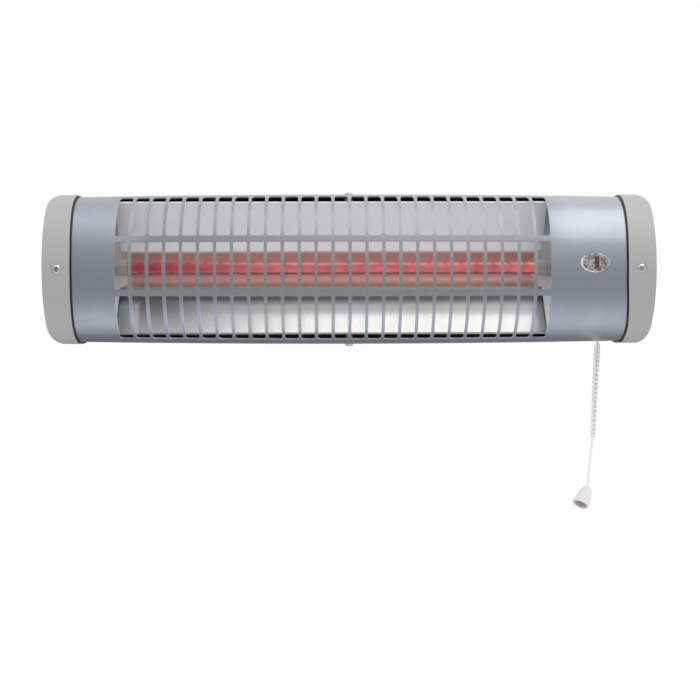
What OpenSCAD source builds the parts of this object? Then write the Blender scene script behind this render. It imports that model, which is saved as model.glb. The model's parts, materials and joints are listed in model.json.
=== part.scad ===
// Wall-mounted infrared heater: a half-round sheet housing with a punched grille,
// a reflector with one quartz tube, two moulded end caps, a pull-cord switch and a
// wall bracket that the heater tilts on. +Z is up, the front faces -Y, and the
// wall is the plane Y = 0. The origin is the middle of the bracket's wall face.

/* [Housing] */
// Overall width across both end caps
overall_w = 535; // [480:5:640]
// Outer radius of the half-round front sheet at its ends
housing_r = 65.6; // [63:0.2:70]
// How much further out the sheet bows at its middle
housing_bow = 2.2; // [0.5:0.1:4]
// Depth of the housing from its front line to the rear cover
housing_d = 98; // [94:1:115]
// Thickness of the housing sheet
sheet_t = 1; // [0.7:0.1:1.3]
// Width of the return flange along the rear edges
flange_w = 9; // [8:0.5:12]

/* [Grille] */
// Number of slots in each row
slot_count = 26; // [16:1:26]
// Width of the upright rib between two slots
rib_w = 2.85; // [2:0.05:4]
// Length of a middle slot, round the sheet
mid_slot_l = 42; // [36:0.2:46]
// Width of the two long bars, round the sheet
bar_w = 5.6; // [4:0.1:8]
// Length of an upper or lower slot, round the sheet
outer_slot_l = 54.4; // [45:0.2:58]
// How much shorter the grille is than the quartz tube
grille_short = 12.5; // [8:0.5:30]

/* [End caps] */
// Visible width of one moulded cap
cap_w = 24; // [20:0.5:32]
// How far a cap stands out over the housing sheet
cap_proud = 1.9; // [1.5:0.1:3]
// Wall thickness of a cap
cap_wall = 2.4; // [1.8:0.1:3]
// Corner radius of a cap, seen from the front
cap_corner_r = 14; // [8:0.5:20]
// Thickness of the black seal between cap and housing
gasket_t = 1.7; // [1:0.1:2.5]

/* [Element and reflector] */
// Diameter of the quartz tube
tube_d = 12; // [10:0.5:13]
// Wall of the quartz tube
tube_wall = 1; // [0.8:0.1:1.5]
// Distance from the housing's left end to the tube, for the lead
lead_room = 27.8; // [27:0.2:40]
// Distance from the housing's right end to the tube, for the switch and lens
switch_room = 59.8; // [59:0.2:80]
// Turns of the heating coil
coil_turns = 30; // [20:1:40]
// Radius of the reflector's trough behind the tube
trough_r = 17; // [14:0.5:19]
// Gap between the reflector's front lips and the housing sheet
lip_gap = 0.44; // [0.3:0.02:2]
// Thickness of the reflector sheet
reflector_t = 0.7; // [0.5:0.1:1]
// Slant of the reflector's end plates
end_slant = 27; // [18:1:30]

/* [Wall bracket and tilt] */
// Distance between the wall and the rear cover
stand_off = 42; // [40:1:55]
// Width between the bracket's ears, outside
bracket_w = 202; // [160:2:260]
// Height of the bracket's wall plate
bracket_h = 40; // [32:2:50]
// Thickness of the bracket steel
bracket_t = 2; // [1.5:0.5:3]
// Distance from the wall to the tilt pivot
pivot_out = 26; // [24:1:28]
// Radius of the pivot stud
stud_r = 3; // [2.5:0.25:4]
// Distance between the two wall holes
wall_hole_gap = 140; // [80:5:140]
// Radius of a wall hole
wall_hole_r = 2.75; // [2:0.25:3.5]

/* [Pull switch] */
// Distance from the housing's right end to the pull cord
cord_in = 12.8; // [12.6:0.1:14]
// Travel of the pull cord
pull_travel = 8; // [5:0.5:9]
// Width of the switch case
case_w = 33; // [32:0.5:36]
// Height of the switch case
case_h = 40; // [38:1:46]
// Depth of the switch case
case_d = 20; // [18:0.5:24]
// Length of the cord's bell
bell_l = 20.5; // [16:0.5:26]
// Radius of the bell's foot
bell_r = 7.6; // [6:0.1:9]

/* [Hidden] */

// Fineness of round forms
$fn = 64;
bow_steps = 12;
// Overrun of a cut past the face that it opens
cut = 1;
// Clearance all round a part that drops into another
fit = 0.2;
// Clearance between faces that pass each other
pass_gap = 0.3;
// Radial clearance of a pin that turns in a hole
run_gap = 0.06;

// Places along Y, from the wall to the front line
back_y = -stand_off;
front_y = back_y - housing_d;
axis_y = front_y + housing_r + housing_bow;
pivot_y = -pivot_out;

// Places along X
housing_half_w = overall_w / 2 - cap_w - gasket_t;
cap_inner_x = overall_w / 2 - cap_w;
cap_r = housing_r + cap_proud;

// The sheet's bow is an arc that spans the housing's whole width
bow_r = (pow(housing_half_w, 2) + pow(housing_bow, 2)) / (2 * housing_bow);
function bowed_r(x) = housing_r + housing_bow - bow_r + sqrt(pow(bow_r, 2) - pow(x, 2));

// Angles of the slots, from their lengths round the sheet
deg_per_mm = 180 / (PI * housing_r);
mid_angle = mid_slot_l * deg_per_mm / 2;
outer_start = mid_angle + bar_w * deg_per_mm;
outer_end = outer_start + outer_slot_l * deg_per_mm;

// The element lies between the room for its lead and the room for the switch
tube_l = 2 * housing_half_w - lead_room - switch_room;
element_x = (lead_room - switch_room) / 2;

// The grille's slots share out its length, a little right of the element's middle
grille_shift = 1.5;
grille_x = element_x + grille_shift;
slot_pitch = (tube_l - grille_short) / slot_count;
slot_w = slot_pitch - rib_w;

// The tube's place in the housing's depth, and the reflector round it
cover_t = 1;
tube_depth_share = 0.408;
tube_rise = 14;
lip_rise = 9;
lip_rim = 1.2;
spacer_r = 4;
past_tube = 2;
end_back_in = 16.8;
tube_y = front_y + housing_d * tube_depth_share;
trough_y = tube_y + tube_rise;
lip_y = trough_y - lip_rise;
lip_z = sqrt(pow(housing_r - sheet_t, 2) - pow(axis_y - lip_y, 2)) - lip_gap;
lip_flange_l = axis_y - lip_y + spacer_r + lip_rim;
reflector_half_l = tube_l / 2 + past_tube;
end_back_x = tube_l / 2 - end_back_in;

// Extrudes an outline drawn in Y and Z along X, from x0 to x1
module along_x(x0, x1) {
    translate([x0, 0, 0])
        rotate([90, 0, 90])
            linear_extrude(x1 - x0)
                children();
}

// Extrudes an outline drawn in X and Z along Y, from y0 back to y1
module along_y(y0, y1) {
    translate([0, y1, 0])
        rotate([90, 0, 0])
            linear_extrude(y1 - y0)
                children();
}

// A round bar along X
module rod_x(r, x0, x1) {
    translate([x0, 0, 0])
        rotate([0, 90, 0])
            cylinder(r = r, h = x1 - x0);
}

// A round bar along Y
module rod_y(r, y0, y1) {
    translate([0, y0, 0])
        rotate([-90, 0, 0])
            cylinder(r = r, h = y1 - y0);
}

// Copies its children on both sides of a plane across X
module both_sides(middle = 0) {
    children();
    translate([2 * middle, 0, 0])
        mirror([1, 0, 0])
            children();
}

// Turns a right-hand piece into the one of the side asked for
module on_side(side, middle = 0) {
    if (side > 0)
        children();
    else
        translate([2 * middle, 0, 0])
            mirror([1, 0, 0])
                children();
}

// The housing's section: half a circle in front and straight walls behind
module d_shape(r, y_end) {
    translate([axis_y, 0])
        intersection() {
            circle(r = r, $fn = 128);
            translate([-2 * r, -r])
                square([2 * r, 2 * r]);
        }
    translate([axis_y - fit, -r])
        square([y_end - axis_y + fit, 2 * r]);
}

// The bowed edge of the sheet, as points from left to right at a radius inside the outer one
function bow_edge(inset, half_w) = [
    for (i = [0 : bow_steps])
        let (x = half_w * (2 * i / bow_steps - 1))
            [x, bowed_r(x) - inset]
];

// The bowed outline of the housing, drawn in X and Z
module bowed_outline(inset, half_w) {
    upper = bow_edge(inset, half_w);
    polygon(concat(upper, [for (i = [bow_steps : -1 : 0]) [upper[i][0], -upper[i][1]]]));
}

// The housing's solid form: a bowed half round in front of a bowed slab
module bowed_form(inset, half_w, y_end) {
    translate([0, axis_y, 0])
        rotate([0, 90, 0])
            rotate_extrude($fn = 128)
                polygon(concat(
                    [[0, -half_w]],
                    [for (p = bow_edge(inset, half_w)) [p[1], p[0]]],
                    [[0, half_w]]
                ));
    along_y(axis_y, y_end)
        bowed_outline(inset, half_w);
}

// One slot's cutter: a block bent round the housing's axis
module slot_cutter(x, from_angle, to_angle) {
    translate([x - slot_w / 2, axis_y, 0])
        rotate([90, 0, 90])
            rotate([0, 0, 180 - to_angle])
                rotate_extrude(angle = to_angle - from_angle)
                    translate([housing_r - sheet_t - cut, 0])
                        square([sheet_t + housing_bow + 2 * cut, slot_w]);
}

// Outline of the indicator lens, an ellipse
lens_in = 27.5;
lens_x = housing_half_w - lens_in;
lens_z = 2.2;
lens_w = 25.8;
lens_h = 17;
lens_points = 32;
module lens_outline(extra) {
    translate([lens_x, lens_z])
        polygon([for (i = [0 : lens_points - 1])
            let (a = 360 * i / lens_points)
            [(lens_w / 2 + extra) * cos(a), (lens_h / 2 + extra) * sin(a)]]);
}

// Screws: a domed head with a cross recess, and its shank
screw_head_r = 3.9;
screw_head_h = 2.2;
screw_r = 1.75;
recess_w = 0.9;
recess_l = 4.4;
head_dome_share = 1.35;
screw_past = 3;
module screw(shank_l, head_r = screw_head_r, head_h = screw_head_h, r = screw_r) {
    difference() {
        intersection() {
            cylinder(r = head_r, h = head_h);
            translate([0, 0, head_h - head_r * head_dome_share])
                sphere(r = head_r * head_dome_share);
        }
        for (a = [0, 90])
            rotate([0, 0, a])
                translate([-recess_l / 2, -recess_w / 2, head_h / 2])
                    cube([recess_l, recess_w, head_h]);
    }
    translate([0, 0, -shank_l])
        cylinder(r = r, h = shank_l + head_h / 4);
}

// Wall bracket
ear_r = 11;
ear_half_w = bracket_w / 2;
module wall_bracket() {
    color("lightgray") {
        difference() {
            translate([-ear_half_w, -bracket_t, -bracket_h / 2])
                cube([bracket_w, bracket_t, bracket_h]);
            for (s = [-1, 1])
                translate([s * wall_hole_gap / 2, 0, 0])
                    rod_y(wall_hole_r, -bracket_t - cut, cut);
        }
        both_sides()
            difference() {
                along_x(ear_half_w - bracket_t, ear_half_w) {
                    translate([pivot_y, 0])
                        circle(r = ear_r);
                    polygon([
                        [pivot_y, ear_r], [-bracket_t - ear_r / 2, ear_r],
                        [-bracket_t, bracket_h / 2], [0, bracket_h / 2],
                        [0, -bracket_h / 2], [-bracket_t, -bracket_h / 2],
                        [-bracket_t - ear_r / 2, -ear_r], [pivot_y, -ear_r]
                    ]);
                }
                translate([0, pivot_y, 0])
                    rod_x(stud_r + run_gap, ear_half_w - bracket_t - cut, ear_half_w + cut);
            }
    }
}

// Front housing with its punched grille
eyelet_r = 4.5;
lens_cut_deep = 8;
module front_housing() {
    color([0.66, 0.69, 0.75])
        difference() {
            bowed_form(0, housing_half_w, back_y);
            bowed_form(sheet_t, housing_half_w + cut, back_y - cover_t - sheet_t);
            along_y(back_y - cover_t - sheet_t - cut, back_y + cut)
                bowed_outline(flange_w, housing_half_w + cut);
            along_y(back_y - cover_t, back_y + cut)
                bowed_outline(sheet_t, housing_half_w + cut);
            along_y(back_y, axis_y + cap_r + housing_bow)
                square(4 * housing_half_w, center = true);
            for (i = [0 : slot_count - 1]) {
                x = grille_x + (i - (slot_count - 1) / 2) * slot_pitch;
                slot_cutter(x, -mid_angle, mid_angle);
                slot_cutter(x, outer_start, outer_end);
                slot_cutter(x, -outer_end, -outer_start);
            }
            along_y(front_y - cut, front_y + lens_cut_deep)
                lens_outline(fit);
            translate([cord_x, cord_y, -bowed_r(cord_x) - cut])
                cylinder(r = eyelet_r + fit / 2, h = sheet_t + 2 * cut);
            for (s = [0, 180])
                translate([0, axis_y, 0])
                    rotate([s, 0, 0])
                        translate([0, 0, housing_r + housing_bow - sheet_t - cut])
                            cylinder(r = screw_r + fit / 2, h = sheet_t + 2 * cut);
            for (x = cover_screw_xs, z = [-1, 1])
                translate([x, 0, z * cover_screw_z])
                    rod_y(screw_r + fit / 2, back_y - cover_t - sheet_t - cut, back_y + cut);
        }
}

// Rear cover: a flat sheet with vents, screwed to the housing's flanges
cover_screw_rise = 1;
cover_screw_in = 20;
cover_screw_z = housing_r - sheet_t - flange_w / 2 + cover_screw_rise;
cover_screw_xs = [-housing_half_w + cover_screw_in, 0, housing_half_w - cover_screw_in];
vent_count = 9;
vent_w = 26;
vent_h = 3.2;
vent_end = 81.8;
vent_clear = 13;
vent_step = 8;
vent_pitch = 2 * (housing_half_w - vent_end) / (vent_count - 1);
gland_in = 51.8;
gland_x = housing_half_w - gland_in;
gland_z = 0;
gland_r = 6;
module rear_cover() {
    color([0.62, 0.64, 0.68])
        difference() {
            along_y(back_y - cover_t, back_y)
                bowed_outline(sheet_t + fit, housing_half_w);
            for (i = [0 : vent_count - 1], z = [-1, 1], k = [0, 1])
                translate([
                    (i - (vent_count - 1) / 2) * vent_pitch - vent_w / 2,
                    back_y - cover_t - cut,
                    z * (bracket_h / 2 + vent_clear + k * vent_step) - vent_h / 2
                ])
                    cube([vent_w, cover_t + 2 * cut, vent_h]);
            for (x = cover_screw_xs, z = [-1, 1])
                translate([x, 0, z * cover_screw_z])
                    rod_y(screw_r + fit / 2, back_y - cover_t - cut, back_y + cut);
            translate([gland_x, 0, gland_z])
                rod_y(gland_r + fit / 2, back_y - cover_t - cut, back_y + cut);
            for (s = [-1, 1], z = [-1, 1])
                translate([s * lug_rivet_x, 0, z * lug_rivet_z])
                    rod_y(rivet_r + fit / 2, back_y - cover_t - cut, back_y + cut);
        }
}

module rear_cover_screws() {
    color("silver")
        for (x = cover_screw_xs, z = [-1, 1])
            translate([x, back_y, z * cover_screw_z])
                rotate([-90, 0, 0])
                    screw(shank_l = cover_t + sheet_t + screw_past);
}

// Tilt lugs: steel angles riveted to the rear cover
lug_t = 2;
lug_r = 9;
washer_t = 1;
lug_outer_x = ear_half_w - bracket_t - pass_gap - washer_t;
lug_foot_w = 20;
lug_foot_h = 36;
rivet_r = 2;
lug_rivet_share = 0.55;
lug_rivet_in = 7;
lug_rivet_x = lug_outer_x - lug_foot_w * lug_rivet_share;
lug_rivet_z = lug_foot_h / 2 - lug_rivet_in;
module tilt_lug(side) {
    color([0.7, 0.71, 0.73])
        on_side(side)
            difference() {
                union() {
                    translate([lug_outer_x - lug_foot_w, back_y, -lug_foot_h / 2])
                        cube([lug_foot_w, lug_t, lug_foot_h]);
                    along_x(lug_outer_x - lug_t, lug_outer_x) {
                        translate([pivot_y, 0])
                            circle(r = lug_r);
                        polygon([
                            [back_y, -lug_foot_h / 2], [back_y + lug_t, -lug_foot_h / 2],
                            [pivot_y, -lug_r], [pivot_y, lug_r],
                            [back_y + lug_t, lug_foot_h / 2], [back_y, lug_foot_h / 2]
                        ]);
                    }
                }
                translate([0, pivot_y, 0])
                    rod_x(stud_r, lug_outer_x - lug_t - cut, lug_outer_x + cut);
                for (z = [-1, 1])
                    translate([lug_rivet_x, 0, z * lug_rivet_z])
                        rod_y(rivet_r + fit / 2, back_y - cut, back_y + lug_t + cut);
            }
}

module lug_rivets() {
    color("silver")
        both_sides()
            for (z = [-1, 1])
                translate([lug_rivet_x, 0, z * lug_rivet_z]) {
                    rod_y(rivet_r, back_y - cover_t, back_y + lug_t);
                    rod_y(2 * rivet_r, back_y + lug_t, back_y + lug_t + rivet_r / 2);
                    rod_y(2 * rivet_r, back_y - cover_t - rivet_r / 2, back_y - cover_t);
                }
}

// Pivot studs: a round head inside the lug, and a stud through the bracket's ear
stud_head_t = 2.5;
stud_head_out = 2.5;
stud_short = 3;
knob_w = 14;
module pivot_stud(side) {
    color("silver")
        on_side(side)
            translate([0, pivot_y, 0]) {
                rod_x(stud_r + stud_head_out, lug_outer_x - lug_t - stud_head_t, lug_outer_x - lug_t);
                rod_x(stud_r, lug_outer_x - lug_t - stud_head_t / 2, ear_half_w + knob_w - stud_short);
            }
}

washer_in = 1;
module friction_washers() {
    color([0.25, 0.25, 0.27])
        both_sides()
            translate([0, pivot_y, 0])
                difference() {
                    rod_x(lug_r - washer_in, lug_outer_x, lug_outer_x + washer_t);
                    rod_x(stud_r, lug_outer_x - cut, lug_outer_x + washer_t + cut);
                }
}

// Tilt knobs: moulded wing nuts that clamp the ears
knob_hub_r = 8;
wing_l = 13;
wing_t = 5;
knob_cap_t = 2;
knob_step_share = 0.6;
knob_neck_share = 0.8;
// Half of the wing's outline, as shares of the knob's width and of the wing's length
wing_shares = [[0.2, 0.43], [0.55, 1], [0.95, 1], [0.9, 0.37]];
module tilt_knob(side) {
    knob_x = ear_half_w + pass_gap;
    color([0.16, 0.16, 0.17])
        on_side(side)
            translate([0, pivot_y, 0])
                difference() {
                    union() {
                        rod_x(knob_hub_r, knob_x, knob_x + knob_w * knob_step_share);
                        rod_x(knob_hub_r * knob_neck_share, knob_x + knob_w / 2, knob_x + knob_w);
                        along_y(-wing_t / 2, wing_t / 2)
                            polygon(concat(
                                [for (p = wing_shares) [knob_x + knob_w * p[0], -wing_l * p[1]]],
                                [for (i = [len(wing_shares) - 1 : -1 : 0])
                                    let (p = wing_shares[i])
                                        [knob_x + knob_w * p[0], wing_l * p[1]]]
                            ));
                    }
                    rod_x(stud_r + run_gap, knob_x - cut, knob_x + knob_w - knob_cap_t);
                }
}

// End caps: hollow mouldings, round-cornered from the front
module cap_form(r, end_x, corner_r, y_end) {
    intersection() {
        along_x(0, end_x)
            d_shape(r, y_end);
        along_y(front_y - cap_r, 0) {
            translate([0, -r])
                square([end_x - corner_r, 2 * r]);
            translate([0, -r + corner_r])
                square([end_x, 2 * (r - corner_r)]);
            for (z = [-1, 1])
                translate([end_x - corner_r, z * (r - corner_r)])
                    circle(r = corner_r);
        }
    }
}

cap_screw_in = 12.8;
cap_screw_x = overall_w / 2 - cap_screw_in;
cap_screw_z = -2.7;
cap_front_y = axis_y - cap_r;
cap_boss_r = 4.6;
cap_boss_l = 7;
head_sink = 0.8;
tab_y = cap_front_y + cap_wall + cap_boss_l;
module end_cap(side) {
    color([0.76, 0.77, 0.77])
        on_side(side)
            difference() {
                union() {
                    difference() {
                        cap_form(cap_r, overall_w / 2, cap_corner_r, back_y);
                        cap_form(
                            cap_r - cap_wall, overall_w / 2 - cap_wall,
                            cap_corner_r - cap_wall, back_y - cap_wall
                        );
                    }
                    translate([cap_screw_x, 0, cap_screw_z])
                        rod_y(cap_boss_r, cap_front_y + cap_wall / 2, tab_y);
                }
                translate([-cut, front_y - 2 * cap_r, -2 * cap_r])
                    cube([cap_inner_x + cut, 4 * cap_r, 4 * cap_r]);
                translate([cap_screw_x, 0, cap_screw_z]) {
                    rod_y(screw_r + fit / 2, cap_front_y - cut, tab_y + cut);
                    rod_y(screw_head_r + fit, cap_front_y - cut, cap_front_y + head_sink);
                }
            }
}

module gasket(side) {
    color([0.08, 0.08, 0.09])
        on_side(side)
            along_x(housing_half_w, housing_half_w + gasket_t)
                difference() {
                    d_shape(housing_r + cap_proud / 2, back_y);
                    d_shape(housing_r - 3 * sheet_t, back_y - 3 * sheet_t);
                }
}

// End frames: steel plates that stiffen the housing and carry the caps
frame_t = 1.2;
tab_w = 12;
frame_hole_share = 0.52;
frame_hole_r = (back_y - axis_y) * frame_hole_share;
module end_frame(side) {
    color([0.62, 0.64, 0.66])
        on_side(side)
            difference() {
                union() {
                    along_x(housing_half_w - frame_t, housing_half_w)
                        d_shape(housing_r - sheet_t, back_y - cover_t - sheet_t);
                    translate([housing_half_w - frame_t, tab_y, cap_screw_z - tab_w / 2])
                        cube([cap_screw_x + tab_w / 2 - housing_half_w + frame_t, frame_t, tab_w]);
                }
                translate([cap_screw_x, 0, cap_screw_z])
                    rod_y(screw_r, tab_y - cut, tab_y + frame_t + cut);
                along_x(housing_half_w - frame_t - cut, housing_half_w + cut)
                    for (z = [-1, 1])
                        translate([axis_y, z * housing_r / 2])
                            circle(r = frame_hole_r);
            }
}

module cap_screws() {
    color("silver")
        both_sides()
            translate([cap_screw_x, cap_front_y + head_sink, cap_screw_z])
                rotate([90, 0, 0])
                    screw(shank_l = cap_wall + cap_boss_l + screw_past);
}

// Screws and spacers that hold the reflector, above and below
spacer_h = housing_r + housing_bow - sheet_t - lip_z;
module housing_screws() {
    color("silver")
        for (s = [0, 180])
            translate([0, axis_y, 0])
                rotate([s, 0, 0])
                    translate([0, 0, housing_r + housing_bow])
                        screw(shank_l = sheet_t + spacer_h + reflector_t + screw_past);
}

module reflector_spacers() {
    color("silver")
        for (s = [0, 180])
            translate([0, axis_y, 0])
                rotate([s, 0, 0])
                    translate([0, 0, lip_z])
                        difference() {
                            intersection() {
                                cylinder(r = spacer_r, h = spacer_h);
                                translate([-2 * spacer_r, 0, -lip_z])
                                    rotate([0, 90, 0])
                                        cylinder(r = lip_z + spacer_h, h = 4 * spacer_r, $fn = 128);
                            }
                            translate([0, 0, -cut])
                                cylinder(r = screw_r, h = spacer_h + 2 * cut);
                        }
}

// Reflector: one polished sheet, a trough between two wings with folded lips
module trough_section() {
    translate([trough_y, 0])
        difference() {
            circle(r = trough_r + reflector_t);
            circle(r = trough_r);
            translate([-2 * trough_r, -2 * trough_r])
                square([2 * trough_r, 4 * trough_r]);
        }
}

module wing_section() {
    polygon([
        [trough_y, trough_r],
        [lip_y, lip_z - reflector_t],
        [lip_y, lip_z],
        [lip_y + lip_flange_l, lip_z],
        [lip_y + lip_flange_l, lip_z - reflector_t],
        [lip_y + reflector_t, lip_z - reflector_t],
        [trough_y + reflector_t, trough_r + reflector_t],
        [trough_y + 2 * reflector_t, trough_r + reflector_t / 2],
        [trough_y + 2 * reflector_t, trough_r]
    ]);
}

module reflector() {
    color([0.86, 0.87, 0.9])
        difference() {
            union() {
                along_x(element_x - reflector_half_l, element_x + reflector_half_l)
                    trough_section();
                along_x(element_x - reflector_half_l, element_x + reflector_half_l)
                    wing_section();
                mirror([0, 0, 1])
                    along_x(element_x - reflector_half_l, element_x + reflector_half_l)
                        wing_section();
            }
            for (s = [0, 180])
                translate([0, axis_y, 0])
                    rotate([s, 0, 0])
                        translate([0, 0, lip_z - reflector_t - cut])
                            cylinder(r = screw_r, h = reflector_t + 2 * cut);
        }
}

// Reflector ends: slanted plates across the trough and wings
end_plate_t = 0.8;
end_past_tube = 22;
end_gap = 1.3;
end_steps = 5;
end_r = housing_r - sheet_t - end_gap;
end_front_y = tube_y - end_past_tube;
trough_step = 15;
// Half of a plate's outer outline, round the housing's axis from the lip to the front
end_edge = [
    for (i = [0 : end_steps])
        let (
            lip_angle = acos((axis_y - lip_y) / end_r),
            front_angle = acos((axis_y - end_front_y) / end_r),
            a = lip_angle + (front_angle - lip_angle) * i / end_steps
        )
            [axis_y - end_r * cos(a), end_r * sin(a)]
];
ceramic_r = 7;
rim_r = 8;
module reflector_end(side) {
    color([0.8, 0.82, 0.85])
        on_side(side, element_x)
            difference() {
                intersection() {
                    translate([element_x + end_back_x, trough_y + trough_r, -housing_r])
                        rotate([0, 0, end_slant - 90])
                            cube([2 * housing_d, end_plate_t, 2 * housing_r]);
                    along_x(element_x, element_x + housing_half_w)
                        polygon(concat(
                            [for (p = end_edge) [p[0], -p[1]]],
                            [for (i = [end_steps : -1 : 0]) end_edge[i]],
                            [for (a = [90 : -trough_step : -90])
                                [
                                    trough_y + (trough_r - fit) * cos(a),
                                    (trough_r - fit) * sin(a)
                                ]]
                        ));
                }
                translate([0, tube_y, 0])
                    rod_x(rim_r + pass_gap, element_x, element_x + housing_half_w);
            }
}

// Element saddles: forked plates on the reflector's ends that carry the ceramics
saddle_half_h = 12;
saddle_front = 3;
saddle_back = 2;
module element_saddle(side) {
    color([0.66, 0.67, 0.7])
        on_side(side, element_x)
            along_x(element_x + reflector_half_l, element_x + reflector_half_l + frame_t)
                difference() {
                    translate([tube_y - saddle_front, -saddle_half_h])
                        square([
                            trough_y + trough_r - tube_y + saddle_front + saddle_back,
                            2 * saddle_half_h
                        ]);
                    translate([tube_y, 0])
                        circle(r = ceramic_r);
                    translate([tube_y - 2 * ceramic_r, -ceramic_r])
                        square([2 * ceramic_r, 2 * ceramic_r]);
                }
}

// Quartz tube
module quartz_tube() {
    color([0.85, 0.4, 0.42, 0.7])
        translate([0, tube_y, 0])
            difference() {
                rod_x(tube_d / 2, element_x - tube_l / 2, element_x + tube_l / 2);
                rod_x(
                    tube_d / 2 - tube_wall, element_x - tube_l / 2 - cut,
                    element_x + tube_l / 2 + cut
                );
            }
}

// A closed tube swept along points that run mostly along one axis
along_x_share = 0.9;
function ring_at(p, u, v, r, n) =
    [for (k = [0 : n - 1]) p + r * (cos(360 * k / n) * u + sin(360 * k / n) * v)];
function unit(a) = a / norm(a);
function direction_at(pts, i) = unit(pts[min(i + 1, len(pts) - 1)] - pts[max(i - 1, 0)]);
module swept_tube(pts, r, n) {
    last = len(pts) - 1;
    rings = [for (i = [0 : last])
        let (
            d = i == 0 ? unit(pts[1] - pts[0]) :
                i == last ? unit(pts[last] - pts[last - 1]) : direction_at(pts, i),
            u = unit(cross(d, abs(d[0]) > along_x_share ? [0, 0, 1] : [1, 0, 0])),
            v = cross(d, u)
        )
        ring_at(pts[i], u, v, r, n)];
    points = [for (ring = rings, p = ring) p];
    sides = [for (i = [0 : last - 1], k = [0 : n - 1])
        let (a = i * n + k, b = i * n + (k + 1) % n)
        each [[a, a + n, b + n], [a, b + n, b]]];
    caps = [
        [for (k = [0 : n - 1]) k],
        [for (k = [n - 1 : -1 : 0]) last * n + k]
    ];
    polyhedron(points = points, faces = concat(sides, caps));
}

// Heating coil: a drawn-out coil of resistance wire with straight tails
coil_wire_r = 0.5;
coil_r = 3.6;
coil_steps = 8;
coil_in = 22;
tail_out = 20;
coil_half_l = tube_l / 2 - coil_in;
tail_end = tube_l / 2 + tail_out;
module heating_coil() {
    turns_total = coil_turns * coil_steps;
    path = [for (i = [0 : turns_total])
        let (a = 360 * i / coil_steps)
        [
            element_x - coil_half_l + 2 * coil_half_l * i / turns_total,
            tube_y + coil_r * cos(a),
            coil_r * sin(a)
        ]];
    color([0.9, 0.45, 0.3]) {
        swept_tube(path, coil_wire_r, 6);
        both_sides(element_x)
            translate([0, tube_y, 0]) {
                rod_x(coil_r + coil_wire_r, element_x + coil_half_l - coil_wire_r,
                    element_x + coil_half_l + 3 * coil_wire_r);
                rod_x(2 * coil_wire_r, element_x + coil_half_l, element_x + tail_end);
            }
    }
}

// Ceramic ends: sleeves on the tube's ends with a rim
ceramic_in = 16.3;
ceramic_out = 10;
rim_t = 2;
rim_at = 1.2;
module ceramic_end(side) {
    tube_end = element_x + tube_l / 2;
    color([0.87, 0.84, 0.78])
        on_side(side, element_x)
            translate([0, tube_y, 0])
                difference() {
                    union() {
                        rod_x(ceramic_r, tube_end - ceramic_in, tube_end + ceramic_out);
                        rod_x(rim_r, tube_end - rim_at - rim_t, tube_end - rim_at);
                    }
                    rod_x(tube_d / 2, tube_end - ceramic_in - cut, tube_end);
                    rod_x(2 * coil_wire_r + fit / 2, tube_end - cut, tube_end + ceramic_out + cut);
                }
}

// Thermal cut-out: a round bimetal switch on the back of the trough
cutout_in = 62;
cutout_x = element_x + tube_l / 2 - cutout_in;
cutout_r = 8;
cutout_h = 7;
module thermal_cutout() {
    seat_y = trough_y + trough_r + reflector_t;
    color([0.2, 0.2, 0.21])
        translate([cutout_x, 0, 0]) {
            rod_y(cutout_r, seat_y, seat_y + cutout_h);
            for (z = [-1, 1])
                translate([-blade_w / 2, seat_y + cutout_h, (z * cutout_r - blade_t) / 2])
                    cube([blade_w, blade_l, blade_t]);
        }
}

// Indicator: a clear oval lens, its clip ring and the neon lamp behind it
lens_proud = 1.4;
lens_flange = 1.6;
lens_drop = 2.4;
lens_wall = 1;
clip_l = 8;
clip_gap = 0.1;
lens_front_y = axis_y - bowed_r(lens_x);
lens_flange_y = lens_front_y + lens_drop;
module indicator_lens() {
    color([0.85, 0.82, 0.8, 0.6])
        difference() {
            union() {
                along_y(lens_front_y - lens_proud / 2, lens_flange_y + lens_flange)
                    lens_outline(0);
                along_y(lens_front_y - lens_proud, lens_front_y)
                    lens_outline(-lens_flange);
                along_y(lens_flange_y, lens_flange_y + lens_flange)
                    lens_outline(lens_flange);
            }
            translate([lens_x, 0, lens_z])
                rod_y(
                    lens_h / 2 - lens_flange - lens_wall, lens_front_y + lens_flange,
                    lens_flange_y + 2 * lens_flange
                );
        }
}

module lens_clip() {
    color([0.3, 0.3, 0.32])
        difference() {
            along_y(lens_flange_y + lens_flange, lens_flange_y + lens_flange + clip_l)
                lens_outline(lens_flange);
            translate([lens_x, 0, lens_z])
                rod_y(neon_r + clip_gap, lens_flange_y, lens_flange_y + lens_flange + clip_l + cut);
        }
}

neon_r = 3;
neon_l = 14;
neon_gap = 0.4;
neon_leg_r = 0.3;
neon_leg_l = 8;
module neon_lamp() {
    color([0.75, 0.25, 0.12])
        translate([lens_x, lens_front_y + lens_flange + neon_gap + neon_r, lens_z]) {
            rod_y(neon_r, 0, neon_l);
            sphere(r = neon_r);
            for (s = [-1, 1])
                translate([s * neon_r / 2, 0, 0])
                    rod_y(neon_leg_r, neon_l - neon_leg_r, neon_l + neon_leg_l);
        }
}

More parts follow.
